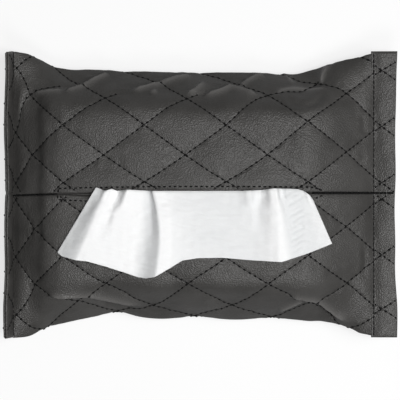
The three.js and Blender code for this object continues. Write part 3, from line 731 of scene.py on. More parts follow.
def settle_drift():
    """Finds the drift that brings the stitch crossings to their photographed places, in steps of 0.1 mm."""
    DRIFT.update(dict.fromkeys(CROSSINGS, (0.0, 0.0)))
    # A crossing and its neighbours on the grid, so that its normal is the cover's own
    step = np.array([-1, 0, 1])
    for _ in range(ROUNDS):
        for side in (1, -1):
            crossings = [(c, k) for c, k in CROSSINGS if side_of(FIRST_ROW + HALF_W * k) == side]
            column, row = np.repeat(np.array(crossings, float).T, len(step), axis=1)
            u = CROSSING_U + HALF_L * column + du * step[:, None]
            r = np.broadcast_to(FIRST_ROW + HALF_W * row + dr * side * np.tile(step, len(crossings)), u.shape)
            px, py = pictured(cover_points(u, r, side)[0][1, 1 :: len(step)])
            for i, key in enumerate(crossings):
                outward, lengthwise = DRIFT[key]
                outward += (py[i] - CROSSINGS[key][1]) * side * OUTWARD_SHARE * FRAME_SCALE
                lengthwise += (CROSSINGS[key][0] - px[i]) * LENGTHWISE_SHARE * FRAME_SCALE
                DRIFT[key] = (outward, lengthwise)
    DRIFT.update({key: (round(float(a), 1), round(float(b), 1)) for key, (a, b) in DRIFT.items()})


settle_drift()


def inner_points(u, r, side):
    """Inner surface of the cover, its lining, on a grid that runs towards the slit."""
    p = base_point(u, r)
    n = grid_normals(p) * -side
    room = np.minimum(LAYERS, 0.42 * np.interp(p[..., 0], *ROOM))
    p = p - n * room[..., None]
    p[..., 1] += centre_y(p[..., 0]) * (1 - smooth(away_of(r) / LIP_REACH))
    return p


# Thickness of skin, wadding and lining, and the whole thickness of the cover along the tube
LAYERS = 4.4
ROOM = (
    [LEFT_SEAM, LEFT_SEAM + 6, LEFT_SEAM + 20, RIGHT_SEAM - 34, RIGHT_SEAM - 10, RIGHT_SEAM],
    [3.4, 9, 30, 30, 9, 3.4],
)
# The lips' turned edges: how far in from the lip and how deep
HEM = ((1.6, 4.2), (0.6, 3.4), (-0.1, 1.8))
# How much of its height the cover keeps at a flange's hinge
HINGE_SHARE = 0.35
# Steep walls are pulled, though less than a fold: fully up to this upward share of the normal, then fading
WALL_PULL = 0.6
WALL_SLANT = 0.65
WALL_EASE = 0.25


def cell_slant(u, r, side):
    """Which way each cell of the grid is split, so that edges follow the stitch lines."""
    column, row = quilt_place((u[1:, 1:] + u[:-1, :-1]) / 2, (r[1:, 1:] + r[:-1, :-1]) / 2)
    slant = (np.floor(column) + np.floor(row)) % 2 == 0
    return slant if side > 0 else ~slant


def lining_grid(side):
    """The lining of one half, on a grid coarser than the skin's."""
    r = r_lines[side][::-12]
    return inner_points(*np.meshgrid(u_line, r[away_of(r) > 7], indexing="ij"), side)


def hem_rows(p, inside, side):
    """The turned edge of a lip, which meets the other one beyond the ends of the slit."""
    lip = lip_open(p[:, 0, 0], side)
    closing = 1 - smooth((lip_open(p[:, 0, 0], -1) / LOWER_GAPE - 0.5) / 0.2)
    rows = []
    for inward, depth in HEM:
        edge = p[:, 0].copy()
        edge[:, 1] += side * mix(inward, -lip - 0.2 * depth, closing)
        edge[:, 2] -= depth * mix(0.6, 1, inside[:, 0])
        rows.append(edge)
    return np.stack(rows, axis=1)


def at_hinge(edge, hinge):
    """An end of the cover, drawn on and flattened to a flange's hinge."""
    edge = edge.copy()
    edge[:, 0] = hinge
    edge[:, 2] = SEAM_Z + (edge[:, 2] - SEAM_Z) * HINGE_SHARE
    return edge[None]


halves = {}
points, faces, lined, gloss_and_painted_highlight, pulled = [], [], [], [], []
for side in (1, -1):
    u, r = np.meshgrid(u_line, r_lines[side], indexing="ij")
    p, inside, stretch_and_painted_highlight = cover_points(u, r, side)
    normals = grid_normals(p) * side
    halves[side] = (p, normals)
    inner, hem = lining_grid(side), hem_rows(p, inside, side)
    plain_cells = np.ones((len(u_line) - 1, inner.shape[1] + hem.shape[1]), bool)
    slant = np.concatenate([plain_cells, cell_slant(u, r, side)], axis=1)
    slant = np.concatenate([slant[:1], slant, slant[-1:]])
    p = np.concatenate([inner, hem, p], axis=1)
    p = np.concatenate([at_hinge(p[0], HINGE[-1]), p, at_hinge(p[-1], HINGE[1])])
    steep = 1 - smooth((np.abs(normals[..., 2]) - WALL_SLANT) / WALL_EASE)
    rim = ((1, 1), (p.shape[1] - stretch_and_painted_highlight.shape[1], 0))
    gloss_and_painted_highlight.append(np.pad(stretch_and_painted_highlight, rim).ravel())
    pulled.append(np.pad(np.maximum(stretch_and_painted_highlight, WALL_PULL * steep), rim).ravel())
    rows, across = p.shape[:2]
    is_lining = np.tile(np.arange(across - 1) < inner.shape[1], rows - 1)
    lined += np.concatenate([is_lining, is_lining]).astype(int).tolist()
    made = grid_faces(rows, across, slant, flip=side < 0)
    faces += [[k + sum(map(len, points)) for k in face] for face in made]
    points.append(p.reshape(-1, 3))

cover = mesh_object("quilted_cover", np.concatenate(points), faces, leather, lining_cloth, inner=lined)
# Fold crests: lower roughness and a highlight painted into the leather's colour
set_values(cover, "gloss_and_painted_highlight", np.concatenate(gloss_and_painted_highlight))
set_values(cover, "pulled", np.concatenate(pulled))
dress(cover, "leather", "cover_skin", "cover_foam", "cover_lining")


def on_cover(u, r):
    """Points and normals of the finished cover at places of the sheet."""
    out_p, out_n = np.zeros((len(u), 3)), np.zeros((len(u), 3))
    for side in (1, -1):
        line = r_lines[side]
        p, n = halves[side]
        chosen = side_of(r) == side
        if not chosen.any():
            continue
        uu, rr = u[chosen], r[chosen]
        fi = np.interp(uu, u_line, np.arange(len(u_line)))
        order = line if side > 0 else line[::-1]
        fj = np.interp(rr, order, np.arange(len(order)))
        if side < 0:
            fj = len(line) - 1 - fj
        i = np.clip(fi.astype(int), 0, len(u_line) - 2)
        j = np.clip(fj.astype(int), 0, len(line) - 2)
        a, b = (fi - i)[:, None], (fj - j)[:, None]
        for out, grid in ((out_p, p), (out_n, n)):
            out[chosen] = between(grid, i, j, a, b)
    return out_p, unit(out_n)


# Thread: sides of its cross-section, and its height against its width
SIDES = 6
THREAD_FLATNESS = 0.7


def dash(*half):
    """A dash of thread from hole to hole, by its first half: place along it, width, lift over the sheet."""
    mirrored = [[-place, width, lift] for place, width, lift in half[::-1] if place]
    return np.array([*half, *mirrored], float)


TOPSTITCH_DASH = dash([-0.5, 0.35, -0.9], [-0.36, 0.95, -0.1], [0, 1, 0.25])
# Quilting dash: thin black thread between the holes, swelling to a thick dark dot at each hole that also
# paints the needle hole's shade
QUILT_DASH_AND_HOLE_SHADE = dash([-0.5, 1, 0.08], [-0.38, 1, 0.1], [-0.28, 0.4, 0.05], [0, 0.2, 0.04])
LOCK_DASH = dash([-0.5, 0.4, 0], [-0.36, 0.5, 0.05], [-0.3, 1, 0.1])
SEAM_DASH = dash([-0.5, 0.6, -0.1], [-0.42, 1, 0.1], [0, 1, 0.15])


def stitches(runs, pitch=STITCH, length=2.5, width=0.8, shape=TOPSTITCH_DASH):
    """Thread dashes along runs of points and normals, as one lot of points and faces."""
    rings = []
    for p, n in runs:
        steps = np.linalg.norm(np.diff(p, axis=0), axis=1)
        total = np.concatenate([[0], np.cumsum(steps)])
        if total[-1] < pitch / 2:
            continue
        count = round(total[-1] / pitch)
        step = total[-1] / count
        at = (np.arange(count)[:, None] + 0.5) * step + shape[None, :, 0] * length * step / pitch

        def look(values, where):
            return np.stack([np.interp(where, total, values[:, k]) for k in range(3)], axis=-1)

        centre, normal = look(p, at), look(n, at)
        along = unit(look(p, at + 0.4) - look(p, at - 0.4))
        normal = unit(normal - along * (along * normal).sum(-1, keepdims=True))
        across = np.cross(normal, along)
        angle = 2 * math.pi * np.arange(SIDES) / SIDES
        r = width / 2 * shape[None, :, 1, None, None]
        ring = centre[:, :, None] + r * (
            across[:, :, None] * np.cos(angle)[None, None, :, None]
            + normal[:, :, None] * THREAD_FLATNESS * np.sin(angle)[None, None, :, None]
        ) + normal[:, :, None] * (shape[None, :, 2, None, None] * width)
        rings.append(ring)
    rings = np.concatenate(rings)
    per = len(shape) * SIDES
    template = []
    for i in range(len(shape) - 1):
        for j in range(SIDES):
            k = (j + 1) % SIDES
            template.append([i * SIDES + j, (i + 1) * SIDES + j, (i + 1) * SIDES + k, i * SIDES + k])
    template += [list(range(SIDES)), list(range(per - 1, per - SIDES - 1, -1))]
    faces = [[k + d * per for k in face] for d in range(len(rings)) for face in template]
    return rings.reshape(-1, 3), faces


QUILTED = dict(pitch=4.2, length=4.25, width=1.4, shape=QUILT_DASH_AND_HOLE_SHADE)
SEAMED = dict(pitch=4.4, length=4.3, width=1.5, shape=SEAM_DASH)


def thread_piece(name, runs, **how):
    """Stitches along runs as one mesh."""
    points, faces = stitches(runs, **how)
    return mesh_object(name, points, faces, thread)


def to_hinge(p, n, hinge):
    """A run led on from its last point over the end of the cover, as far as a flange's hinge."""
    slope = (p[-1, 1] - p[-3, 1]) / (p[-1, 0] - p[-3, 0]) if abs(p[-1, 0] - p[-3, 0]) > 0.5 else 0
    y = p[-1, 1] + np.clip(slope, -1, 1) * (hinge - p[-1, 0])
    far = [hinge, y, SEAM_Z + (p[-1, 2] - SEAM_Z) * HINGE_SHARE]
    return np.concatenate([p, [far]]), np.concatenate([n, n[-1:]])


def quilt_lines(u):
    """Every stitch line of the sheet: its family, its number, and its place round the girth at each u."""
    for family in (1, -1):
        for k in LINE_NUMBERS:
            yield family, k, FIRST_ROW + HALF_W * family * (2 * k - (u - CROSSING_U) / HALF_L)


def quilt_runs():
    """Every quilt line of the cover as runs of points and normals."""
    runs = []
    for family, k, r in quilt_lines(u_line):
        row = (r - FIRST_ROW) / HALF_W
        good = (r > 1.5) & (r < GIRTH - 1.5)
        if family < 0 and k in FOLDED:
            good &= (row < FOLDED[k] + 0.1) | (row > FOLD_END)
        starts = np.flatnonzero(np.diff(good.astype(int), prepend=0, append=0))
        for first, last in zip(starts[::2], starts[1::2]):
            if last - first < 4:
                continue
            p, n = on_cover(u_line[first:last], r[first:last])
            if last == len(u_line):
                p, n = to_hinge(p, n, HINGE[1])
            if first == 0:
                p, n = to_hinge(p[::-1], n[::-1], HINGE[-1])
            runs.append((p, n))
    return runs


dress(thread_piece("quilting_thread", quilt_runs(), **QUILTED), "elastic")

slit_u = np.arange(crown_u(SLIT_LEFT - 1), crown_u(SLIT_RIGHT + 2), 0.8)
closing_in = TOPSTITCH - 1.8 * smooth((slit_u - slit_u[-1] + 9) / 9)
slit_runs = [on_cover(slit_u, closing_in), on_cover(slit_u, GIRTH - closing_in)]
dress(thread_piece("slit_topstitch", slit_runs, width=1.0), "elastic")

UP = np.array([0.0, 0.0, 1.0])


def over_seam(x, reach):
    """Points over the centre seam or slit, level with the lips at a distance from it."""
    u = crown_u(x)
    upper, _ = on_cover(u, np.full(len(u), reach))
    lower, _ = on_cover(u, np.full(len(u), GIRTH - reach))
    p = (upper + lower) / 2
    p[:, 1] = centre_y(p[:, 0])
    return p


def turn_back(x, reach):
    """A run of stitches across one end of the slit, which joins its two rows."""
    line = over_seam(np.array([x]), 3.0)[0]
    t = np.linspace(-1, 1, 9)[:, None]
    p = line + t * np.array([0.3, reach, 0]) + UP * (0.1 - 0.3 * t**2)
    return p, np.tile(UP, (9, 1))


end_runs = [turn_back(SLIT_LEFT - 0.6, 4.2)]
dress(thread_piece("slit_end_stitches", end_runs, pitch=4.2, length=2.6, width=0.95), "elastic")


def centre_seam(name, x, lift, hinge, width):
    """The seam that closes the tube on one side of the slit."""
    run = over_seam(x, 0.9) + UP * lift
    runs = [to_hinge(run, np.tile(UP, (len(x), 1)), hinge)]
    dress(thread_piece(name, runs, **{**SEAMED, "width": width}), "elastic")


centre_seam("centre_seam_right", np.arange(SLIT_RIGHT - 6, RIGHT_SEAM - 0.4, 0.5), 0.1, HINGE[1], 1.5)
centre_seam("centre_seam_left", np.arange(SLIT_LEFT - 1, LEFT_SEAM + 0.4, -0.5), -0.1, HINGE[-1], 0.95)


def slit_facing():
    """The turned edge that shows between the lips at the slit's left end."""
    x = np.linspace(SLIT_LEFT + 2, -58, 60)
    u = crown_u(x)
    upper, _ = on_cover(u, np.full(len(u), 0.02))
    lower, _ = on_cover(u, np.full(len(u), GIRTH - 0.02))
    t = np.linspace(-1, 1, 11)[None, :, None]
    middle, half = ((upper + lower) / 2)[:, None], ((upper - lower) / 2)[:, None]
    p = middle + half * t * 0.72
    p[..., 2] = middle[..., 2] + 0.15 - 1.4 * np.abs(t[..., 0]) ** 2.5
    rows, count = p.shape[:2]
    return mesh_object("slit_facing", p.reshape(-1, 3), grid_faces(rows, count), leather)


dress(slit_facing(), "leather")


# Elastic bands on the back: heights of their faces, rounding of their edges, and the stitched box at each end
BAND_LOW = 0.3
BAND_HIGH = 1.15
BAND_ROUND = 0.6
BOX_NEAR = 3
BOX_FAR = 13
BOX_INSET = 1.6


def loft(name, rings, material, flip=False):
    """A closed loft: rings joined, with a cap at each end."""
    faces = ring_faces(*rings.shape[:2])
    if flip:
        faces = [face[::-1] for face in faces]
    return mesh_object(name, rings.reshape(-1, 3), faces, material)


def ring_faces(rows, count):
    """Faces of a closed loft."""
    faces = []
    for i in range(rows - 1):
        for j in range(count):
            k = (j + 1) % count
            faces.append([i * count + j, i * count + k, (i + 1) * count + k, (i + 1) * count + j])
    return faces + [list(range(count))[::-1], list(range((rows - 1) * count, rows * count))]


def band(node, low_x, low_y, high_x, high_y):
    """A woven elastic band with ribs along it, and its box stitches."""
    middle, half = (low_x + high_x) / 2, (high_x - low_x) / 2
    t = np.linspace(-1, 1, 101)
    across = half * np.sin(t * math.pi / 2) * 0.3 + half * t * 0.7
    y = np.linspace(low_y, high_y, 120)[:, None]
    rounding = np.clip(np.abs(across) - half + BAND_ROUND, 0, BAND_ROUND) / BAND_ROUND
    rim = np.sqrt(np.clip(1 - rounding**2, 0.04, 1))
    rib = 0.1 * np.cos(2 * math.pi * across / RIB) * (np.abs(across) < half - 1)
    inward = np.minimum(y - low_y, high_y - y)
    pressed = 1 - sum(0.2 * np.exp(-(((inward - row) / 1.2) ** 2)) for row in (BOX_NEAR, BOX_FAR))
    wide = 1 - 0.006 * smooth((inward - 12) / 20) + 0.002 * np.sin(y / 5)
    thick = (BAND_HIGH - BAND_LOW) / 2 * rim * pressed * (1 + rib)
    x = middle + across * wide
    centre = (BAND_HIGH + BAND_LOW) / 2 + 0.03 * np.sin(y / 9)
    top = np.stack([x, np.broadcast_to(y, x.shape), centre + thick], axis=-1)
    under = np.stack([x, np.broadcast_to(y, x.shape), centre - thick], axis=-1)
    ring = np.concatenate([under, top[:, ::-1]], axis=1)
    piece = loft("elastic_" + node, ring, elastic_rib, flip=True)
    dress(piece, "elastic", node)
    runs = []
    for end, inwards in ((low_y, 1), (high_y, -1)):
        near, far, edge = end + BOX_NEAR * inwards, end + BOX_FAR * inwards, half - BOX_INSET
        a, b, c, d = (-edge, near), (edge, near), (edge, far), (-edge, far)
        for (ax, ay), (bx, by) in ((a, b), (b, c), (c, d), (d, a), (a, c), (b, d)):
            k = np.linspace(0, 1, 30)[:, None]
            line = np.array([middle + ax, ay, 0.5]) * (1 - k) + np.array([middle + bx, by, 0.5]) * k
            runs.append((line, np.tile(-UP, (30, 1))))
    return runs


band_runs = [run for node, plan in zip(BAND_NAMES, BANDS) for run in band(node, *plan)]
dress(thread_piece("band_stitches", band_runs, pitch=2.8, length=2.1, width=0.75), "elastic")

# Refill pack: folded tissues in a film wrapper with an open slot
# Its ends, half width, heights, rounded ends, play under the lining and the corners of its cross-section
PACK_X = (-113.6, 75.4)
PACK_HALF = 53.0
PACK_Z = (5.4, 45.1)
PACK_ROUND = 14.0
PACK_ROOM = 1.2
PACK_CORNER = 4.5
# The film's open slot and thickness, and where the leading tissue's tail stands between the folded ones
FILM_SLOT_X = (-71.4, 73.2)
FILM_SLOT_Y = (-9.7, 12.3)
FILM = 0.12
TAIL_Y = 0.7
TAIL_FOOT = 18.0


def crown_z(x, y):
    """Height of the cover's front over a place in plan."""
    i = round(float(np.clip((x - LEFT_SEAM) / (RIGHT_SEAM - LEFT_SEAM), 0, 1)) * STATIONS)
    section = sections[1 if y >= 0 else -1][i]
    top = np.argmax(section[:, 0]) + 1
    return float(np.interp(abs(y), section[:top, 0], section[:top, 1]))


def pack_ring(x, inset, turns):
    """A closed cross-section of the refill pack, drawn in by an inset."""
    end = 1 - min(max(min(x - PACK_X[0] - inset, PACK_X[1] - inset - x) / PACK_ROUND, 0), 1)
    full = math.sqrt(1 - end**2)
    half = (PACK_HALF - inset) * mix(0.8, 1, full)
    rise_z = ((PACK_Z[1] - PACK_Z[0]) / 2 - inset) * mix(0.35, 1, full)
    angle = 2 * math.pi * turns
    c, s = np.cos(angle), np.sin(angle)
    y = half * np.sign(c) * np.abs(c) ** (2 / PACK_CORNER)
    z = sum(PACK_Z) / 2 + rise_z * np.sign(s) * np.abs(s) ** (2 / PACK_CORNER)
    limit = np.array([crown_z(x, k) for k in y]) - LAYERS - PACK_ROOM - inset
    return np.stack([np.full_like(y, x), y, np.minimum(z, limit)], axis=-1)


def pack_stations(inset, step):
    """Places of cross-sections along the pack, closer at its rounded ends."""
    t = np.linspace(0, 1, 9)
    low, high = PACK_X[0] + inset, PACK_X[1] - inset
    round_off = PACK_ROUND * (1 - np.cos(t * math.pi / 2))
    middle = np.arange(low + PACK_ROUND + step, high - PACK_ROUND - step / 2, step)
    return np.concatenate([low + round_off, middle, (high - round_off)[::-1]])


def film_wrapper():
    """The wrapper, with gathers at its ends and a slot torn open along its perforation."""
    turns = np.arange(144) / 144
    x = pack_stations(0, 2.4)
    rings = np.array([pack_ring(k, 0, turns) for k in x])
    ends = np.minimum(x - PACK_X[0], PACK_X[1] - x)[:, None]
    gather = 0.5 * np.exp(-ends / 12) * np.sin(turns * 2 * math.pi * 23 + 0.15 * x[:, None])
    slack = 0.2 * waves(np.broadcast_to(x[:, None], rings.shape[:2]), rings[..., 1], 16, 9, 41)
    middle = np.array([0, 0, sum(PACK_Z) / 2])
    outward = unit(rings - rings * np.array([1, 0, 0]) - middle)
    rings = rings - outward * (0.45 + gather * 0.6 + slack)[..., None]
    rows, count = rings.shape[:2]
    faces = ring_faces(rows, count)
    points = rings.reshape(-1, 3)
    centres = np.array([points[face].mean(axis=0) for face in faces])
    torn = 0.5 * np.sin(2 * math.pi * centres[:, 0] / 3.1)
    open_x = (centres[:, 0] > FILM_SLOT_X[0]) & (centres[:, 0] < FILM_SLOT_X[1])
    open_y = (centres[:, 1] > FILM_SLOT_Y[0] + torn) & (centres[:, 1] < FILM_SLOT_Y[1] + torn)
    keep = ~(open_x & open_y & (centres[:, 2] > 30))
    piece = mesh_object("film_wrapper", points, [face for face, good in zip(faces, keep) if good], film_skin)
    thicken(piece, FILM, -1)
    return piece


def folded_tissues():
    """The folded tissues: layers that show along the sides, parted in the middle for the leading one."""
    inset = 0.9
    layer_pitch = 2.1
    turns = np.arange(0, 1, 1 / 260)
    x = pack_stations(inset, 3.0)
    rings = []
    for k in x:
        ring = pack_ring(k, inset, turns)
        edge = np.clip((np.abs(ring[:, 1]) - 38) / 10, 0, 1)
        layer = np.abs(np.sin(math.pi * (ring[:, 2] + 0.12 * math.sin(k / 7)) / layer_pitch)) ** 0.6
        ring[:, 1] -= np.sign(ring[:, 1]) * edge * (0.9 - 0.8 * layer)
        ring[:, 2] -= 0.15 * (1 + np.sin(ring[:, 1] / 3 + k / 11)) * (1 - edge)
        inside = smooth((k - FILM_SLOT_X[0] + 1) / 2) * smooth((FILM_SLOT_X[1] - k + 1) / 2)
        groove = inside * np.exp(-(((ring[:, 1] - TAIL_Y) / 1.9) ** 4)) * (ring[:, 2] > 25)
        ring[:, 2] = mix(ring[:, 2], TAIL_FOOT, groove)
        rings.append(ring)
    return loft("folded_tissues", np.array(rings), tissue_paper)


dress(film_wrapper(), "film", "refill_film")
stack = folded_tissues()
dress(stack, "tissue", "tissue_stack")


# Flanges
FLANGE_Y = 98.7
# Slope of the right flange from its seam up to its edge
FLANGE_SLOPE = 0.08
# The leather of a flange is pulled a little
FLANGE_PULL = 0.15
# Half thickness over the distance out from the stitch line, and the parting of the two layers at the edge
PROFILE = np.array([
    [-1.6, 0.75], [-0.6, 0.7], [0, 0.66], [0.8, 0.74], [2, 0.98], [4, 1.38], [6, 1.66], [8, 1.8],
    [10, 1.85], [12.5, 1.8], [14.4, 1.55], [15.0, 1.3], [15.3, 0.85],
])
SPLIT = [(15.2, 0.4), (14.7, 0.16), (13.9, 0.06)]
# Wave of the left flange's edge along Y
LEFT_EDGE = ([-99, -75, -45, -20, 0, 20, 45, 99], [-0.6, -0.4, 0.8, 0.9, 1.5, 0.9, 0.3, 0.25])


def flange_u(side, d):
    """Place along the sheet of a place on a flange, beyond the seam."""
    return SHEET_LENGTH + SEAM_HALF + d if side > 0 else -SEAM_HALF - d


def flange_point(side, d, y, face, half=None):
    """Point of a flange, a distance out from its stitch line. face is 1 in front, -1 behind."""
    d, y = np.broadcast_arrays(d, y)
    if half is None:
        half = np.interp(d, PROFILE[:, 0], PROFILE[:, 1])
    u = flange_u(side, d)
    r = np.where(face > 0, np.where(y >= 0, y, GIRTH + y), HALF_GIRTH - y)
    swell = smooth(d / 3) * smooth((FLANGE_WIDTH - d) / 2.5)
    outer = smooth(d / 15)
    r = r - drift(u, r) * np.sign(y) * (face > 0)
    half = half + 0.6 * (puff(u, r) - 0.6) * swell + 0.14 * waves(d, y + 40 * side, 13, 8, 11) * swell
    close = smooth((FLANGE_Y - np.abs(y)) / 1.3 + 0.25)
    edge = 1 + outer * (0.35 * np.sin(y / 17 + side) + 0.2 * np.sin(y / 7.3)) / FLANGE_WIDTH
    wave = outer * (0.5 * np.sin(y / 29 + 1.3 * side) + 0.25 * np.sin(y / 11))
    if side > 0:
        wave = wave + FLANGE_SLOPE * d * smooth(d / 5)
        bulge = 0.95 * smooth((np.abs(y) - 45) / 35) - 0.15 - 0.75 * np.exp(-((y / 25) ** 2))
        edge = edge + outer * bulge / FLANGE_WIDTH
    else:
        wave = wave + outer * np.interp(y, *LEFT_EDGE)
        y = np.where(y > 0, y * (1 - 0.014 * outer), y)
    centre = -0.5 * np.exp(-(((y - 0.9) / 1.1) ** 2)) * (d > 0)
    h = face * (half + centre) * close + wave
    out = d * edge
    lift = FLANGE_LIFT[side]
    x = out * math.cos(lift) - h * math.sin(lift)
    z = out * math.sin(lift) + h * math.cos(lift)
    return np.stack([HINGE[side] + side * x, y, SEAM_Z + z], axis=-1)


def flange(side, word):
    """Both layers of a flange, as one closed loft that is parted at its edge."""
    d = np.concatenate([np.arange(-1.6, 14.4, 0.8), [14.4, 14.8, 15.1, 15.3]])
    y = np.linspace(-FLANGE_Y, FLANGE_Y, 190)
    front = flange_point(side, d[None, :], y[:, None], 1)
    split = [flange_point(side, out, y, 1, half)[:, None] for out, half in SPLIT]
    other = [flange_point(side, out, y, -1, half)[:, None] for out, half in SPLIT[::-1]]
    back = flange_point(side, d[None, ::-1], y[:, None], -1)
    ring = np.concatenate([front, *split, *other, back], axis=1)
    piece = loft("flange_" + word, ring, leather, flip=side < 0)
    set_values(piece, "pulled", np.full(len(piece.data.vertices), FLANGE_PULL))
    return piece


def flange_runs(side):
    """Quilt lines on the front and back of a flange."""
    runs = []
    d = np.arange(1.2, 14.6, 0.4)
    u = flange_u(side, d)
    for _, _, r in quilt_lines(u):
        for face in (1, -1):
            if face > 0:
                y = np.where(r < HALF_GIRTH, r + drift(u, r), r - GIRTH - drift(u, r))
            else:
                y = HALF_GIRTH - r
            good = (np.abs(y) < FLANGE_Y - 2) & (r > 1) & (r < GIRTH - 1)
            if good.sum() > 4:
                runs.append(flange_line(side, d[good], y[good], face))
    return runs


def flange_line(side, d, y, face):
    """A run of points and normals on a face of a flange."""
    p = flange_point(side, d, y, face)
    over = flange_point(side, d + 0.3, y, face) - p
    along = flange_point(side, d, y + 0.3, face) - p
    return p, unit(np.cross(over, along) * face * side)


for side, body in ((-1, "left_flange"), (1, "right_flange")):
    word = "left" if side < 0 else "right"
    piece = flange(side, word)
    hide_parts(f"flange_{word}_front", f"flange_{word}_back")
    y = np.arange(-FLANGE_Y + 1, FLANGE_Y - 1, 0.6)
    seam_runs = [flange_line(side, np.full(len(y), 0.25), y, face) for face in (1, -1)]
    threads = [
        thread_piece(f"flange_{word}_thread", flange_runs(side), **QUILTED),
        thread_piece(f"end_seam_{word}", seam_runs, length=3.65, width=0.85, shape=LOCK_DASH),
    ]
    if side > 0:
        d = np.arange(-0.6, 14.6, 0.3)
        centre_run = flange_line(side, d, np.full(len(d), 0.9), 1)
        threads.append(thread_piece("centre_seam_flange", [centre_run], **SEAMED))
    for bending in (piece, *threads):
        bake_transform(bending)


# Leading tissue: its upper and its free edge in the photographed frame, over its width from 0 to 1
TISSUE_SCALE = 0.6765
TOP_EDGE = np.array([
    [0, 96, 187.4], [0.05, 103, 190.3], [0.075, 105.5, 190.9], [0.105, 112, 189], [0.13, 117, 191.2],
    [0.2, 128, 189.9], [0.36, 152.5, 191.2], [0.5, 190, 191.2], [0.62, 225, 191.2], [0.72, 248, 191],
    [0.78, 262, 190.2], [0.815, 272, 188.8], [0.86, 283, 188.9], [0.92, 297, 189.4],
    [0.955, 303.5, 191.4], [0.98, 308.6, 194.8], [1, 312.6, 199.6],
])
FREE_EDGE = np.array([
    [0, 56.8, 252.6], [0.03, 61.7, 256.6], [0.075, 75, 260], [0.13, 88, 261.6], [0.2, 104, 266.2],
    [0.26, 122, 272], [0.31, 138, 277.5], [0.335, 146, 278.5], [0.36, 155, 276.8], [0.4, 167, 269.8],
    [0.45, 182.3, 260.6], [0.5, 197, 258.2], [0.6, 222, 257.8], [0.72, 250, 260.2],
    [0.815, 281, 262], [0.9, 306, 254], [1, 332.6, 244.1],
])
# Height of the draped tissue over the cover, across its width: near the slit, lower down, at its free edge
NEAR_SLIT = np.array([
    [0, 0.3], [0.03, 1.5], [0.06, 3.6], [0.075, 4.6], [0.095, 4.2], [0.115, 1.6], [0.135, 0.2], [0.15, 0.3],
    [0.17, 2.2], [0.19, 5.2], [0.2, 5.6], [0.215, 4.6], [0.26, 2.6], [0.31, 1.4], [0.345, 0.9], [0.352, 2.0],
    [0.36, 4.6], [0.368, 5.0], [0.38, 4.2], [0.43, 2.4], [0.5, 1.6], [0.6, 1.4], [0.67, 1.8], [0.7, 3.2],
    [0.715, 4.4], [0.73, 4.2], [0.742, 1.8], [0.76, 0.1], [0.775, 0.2], [0.79, 2.4], [0.803, 5.6],
    [0.818, 6.6], [0.832, 6.2], [0.842, 2.4], [0.85, 1.6], [0.87, 2.6], [0.92, 3.0], [0.95, 2.4],
    [0.965, 1.0], [0.98, 1.4], [1, 0.3],
])
MIDDLE = np.array([
    [0, 0.3], [0.03, 2.2], [0.06, 5.2], [0.08, 6.2], [0.1, 5.8], [0.13, 3.6], [0.145, 3.4], [0.17, 4.4],
    [0.22, 3.4], [0.28, 1.6], [0.32, 0.9], [0.338, 1.8], [0.352, 4.6], [0.362, 6.4], [0.372, 6.2],
    [0.41, 4.6], [0.47, 2.8], [0.56, 1.7], [0.64, 1.3], [0.7, 1.6], [0.73, 1.8], [0.76, 1.6], [0.78, 3.2],
    [0.8, 5.4], [0.82, 6.4], [0.838, 5.8], [0.852, 3.6], [0.88, 2.4], [0.93, 2.0], [0.97, 1.2], [1, 0.3],
])
NEAR_EDGE = np.array([
    [0, 0.4], [0.03, 2.2], [0.06, 5.0], [0.08, 6.3], [0.1, 6.0], [0.15, 4.6], [0.22, 2.7], [0.27, 1.2],
    [0.295, 0.5], [0.315, 1.0], [0.335, 3.0], [0.35, 5.6], [0.36, 7.0], [0.372, 6.8], [0.42, 4.8],
    [0.48, 3.0], [0.56, 1.7], [0.64, 1.1], [0.7, 1.1], [0.75, 2.0], [0.79, 4.0], [0.815, 5.4], [0.832, 4.8],
    [0.86, 3.0], [0.9, 2.0], [0.96, 1.1], [1, 0.3],
])
# How white the tissue is across its width, from its greyer colour at 0 to its whiter at 1
TISSUE_WHITENESS = np.array([
    [0, 0.3], [0.07, 0.35], [0.085, 1], [0.29, 1], [0.36, 0.3], [0.37, 1], [0.42, 0.7], [0.5, 0.35],
    [0.7, 0.3], [0.78, 0.6], [0.8, 1], [0.83, 1], [0.85, 0.2], [0.96, 0.3], [1, 0.8],
])


# Width of the tail under the lips, and at its lower end, against the tissue's upper edge
TAIL_SHARE = 0.945
TAIL_END_SHARE = 0.92
# Heights of the tail's lower end and of its upper end, and of the lips that the tissue comes out of
TAIL_Z = (20, 50)
LIP_Z = 53.0
# Middle of the tissue's width, and its thickness
TISSUE_X = 0.9
PLY = 0.3
# The pleat: its place across the width, and how far it bows to the right, in pixels
PLEAT_AT = 0.37
PLEAT_BOW = 5.5


def resting_z(x, y):
    """Height of the front's crown under a place in plan, without its quilting."""
    u = crown_u(x)
    p = base_point(u, GIRTH - np.clip(-y, 0.5, 62))
    return p[:, 2] + PUFF + 0.5


def edge_place(k, edge):
    """Plan places of an edge of the tissue, at shares of its width."""
    return place(*(np.interp(k, edge[:, 0], edge[:, column]) for column in (1, 2)), TISSUE_SCALE)


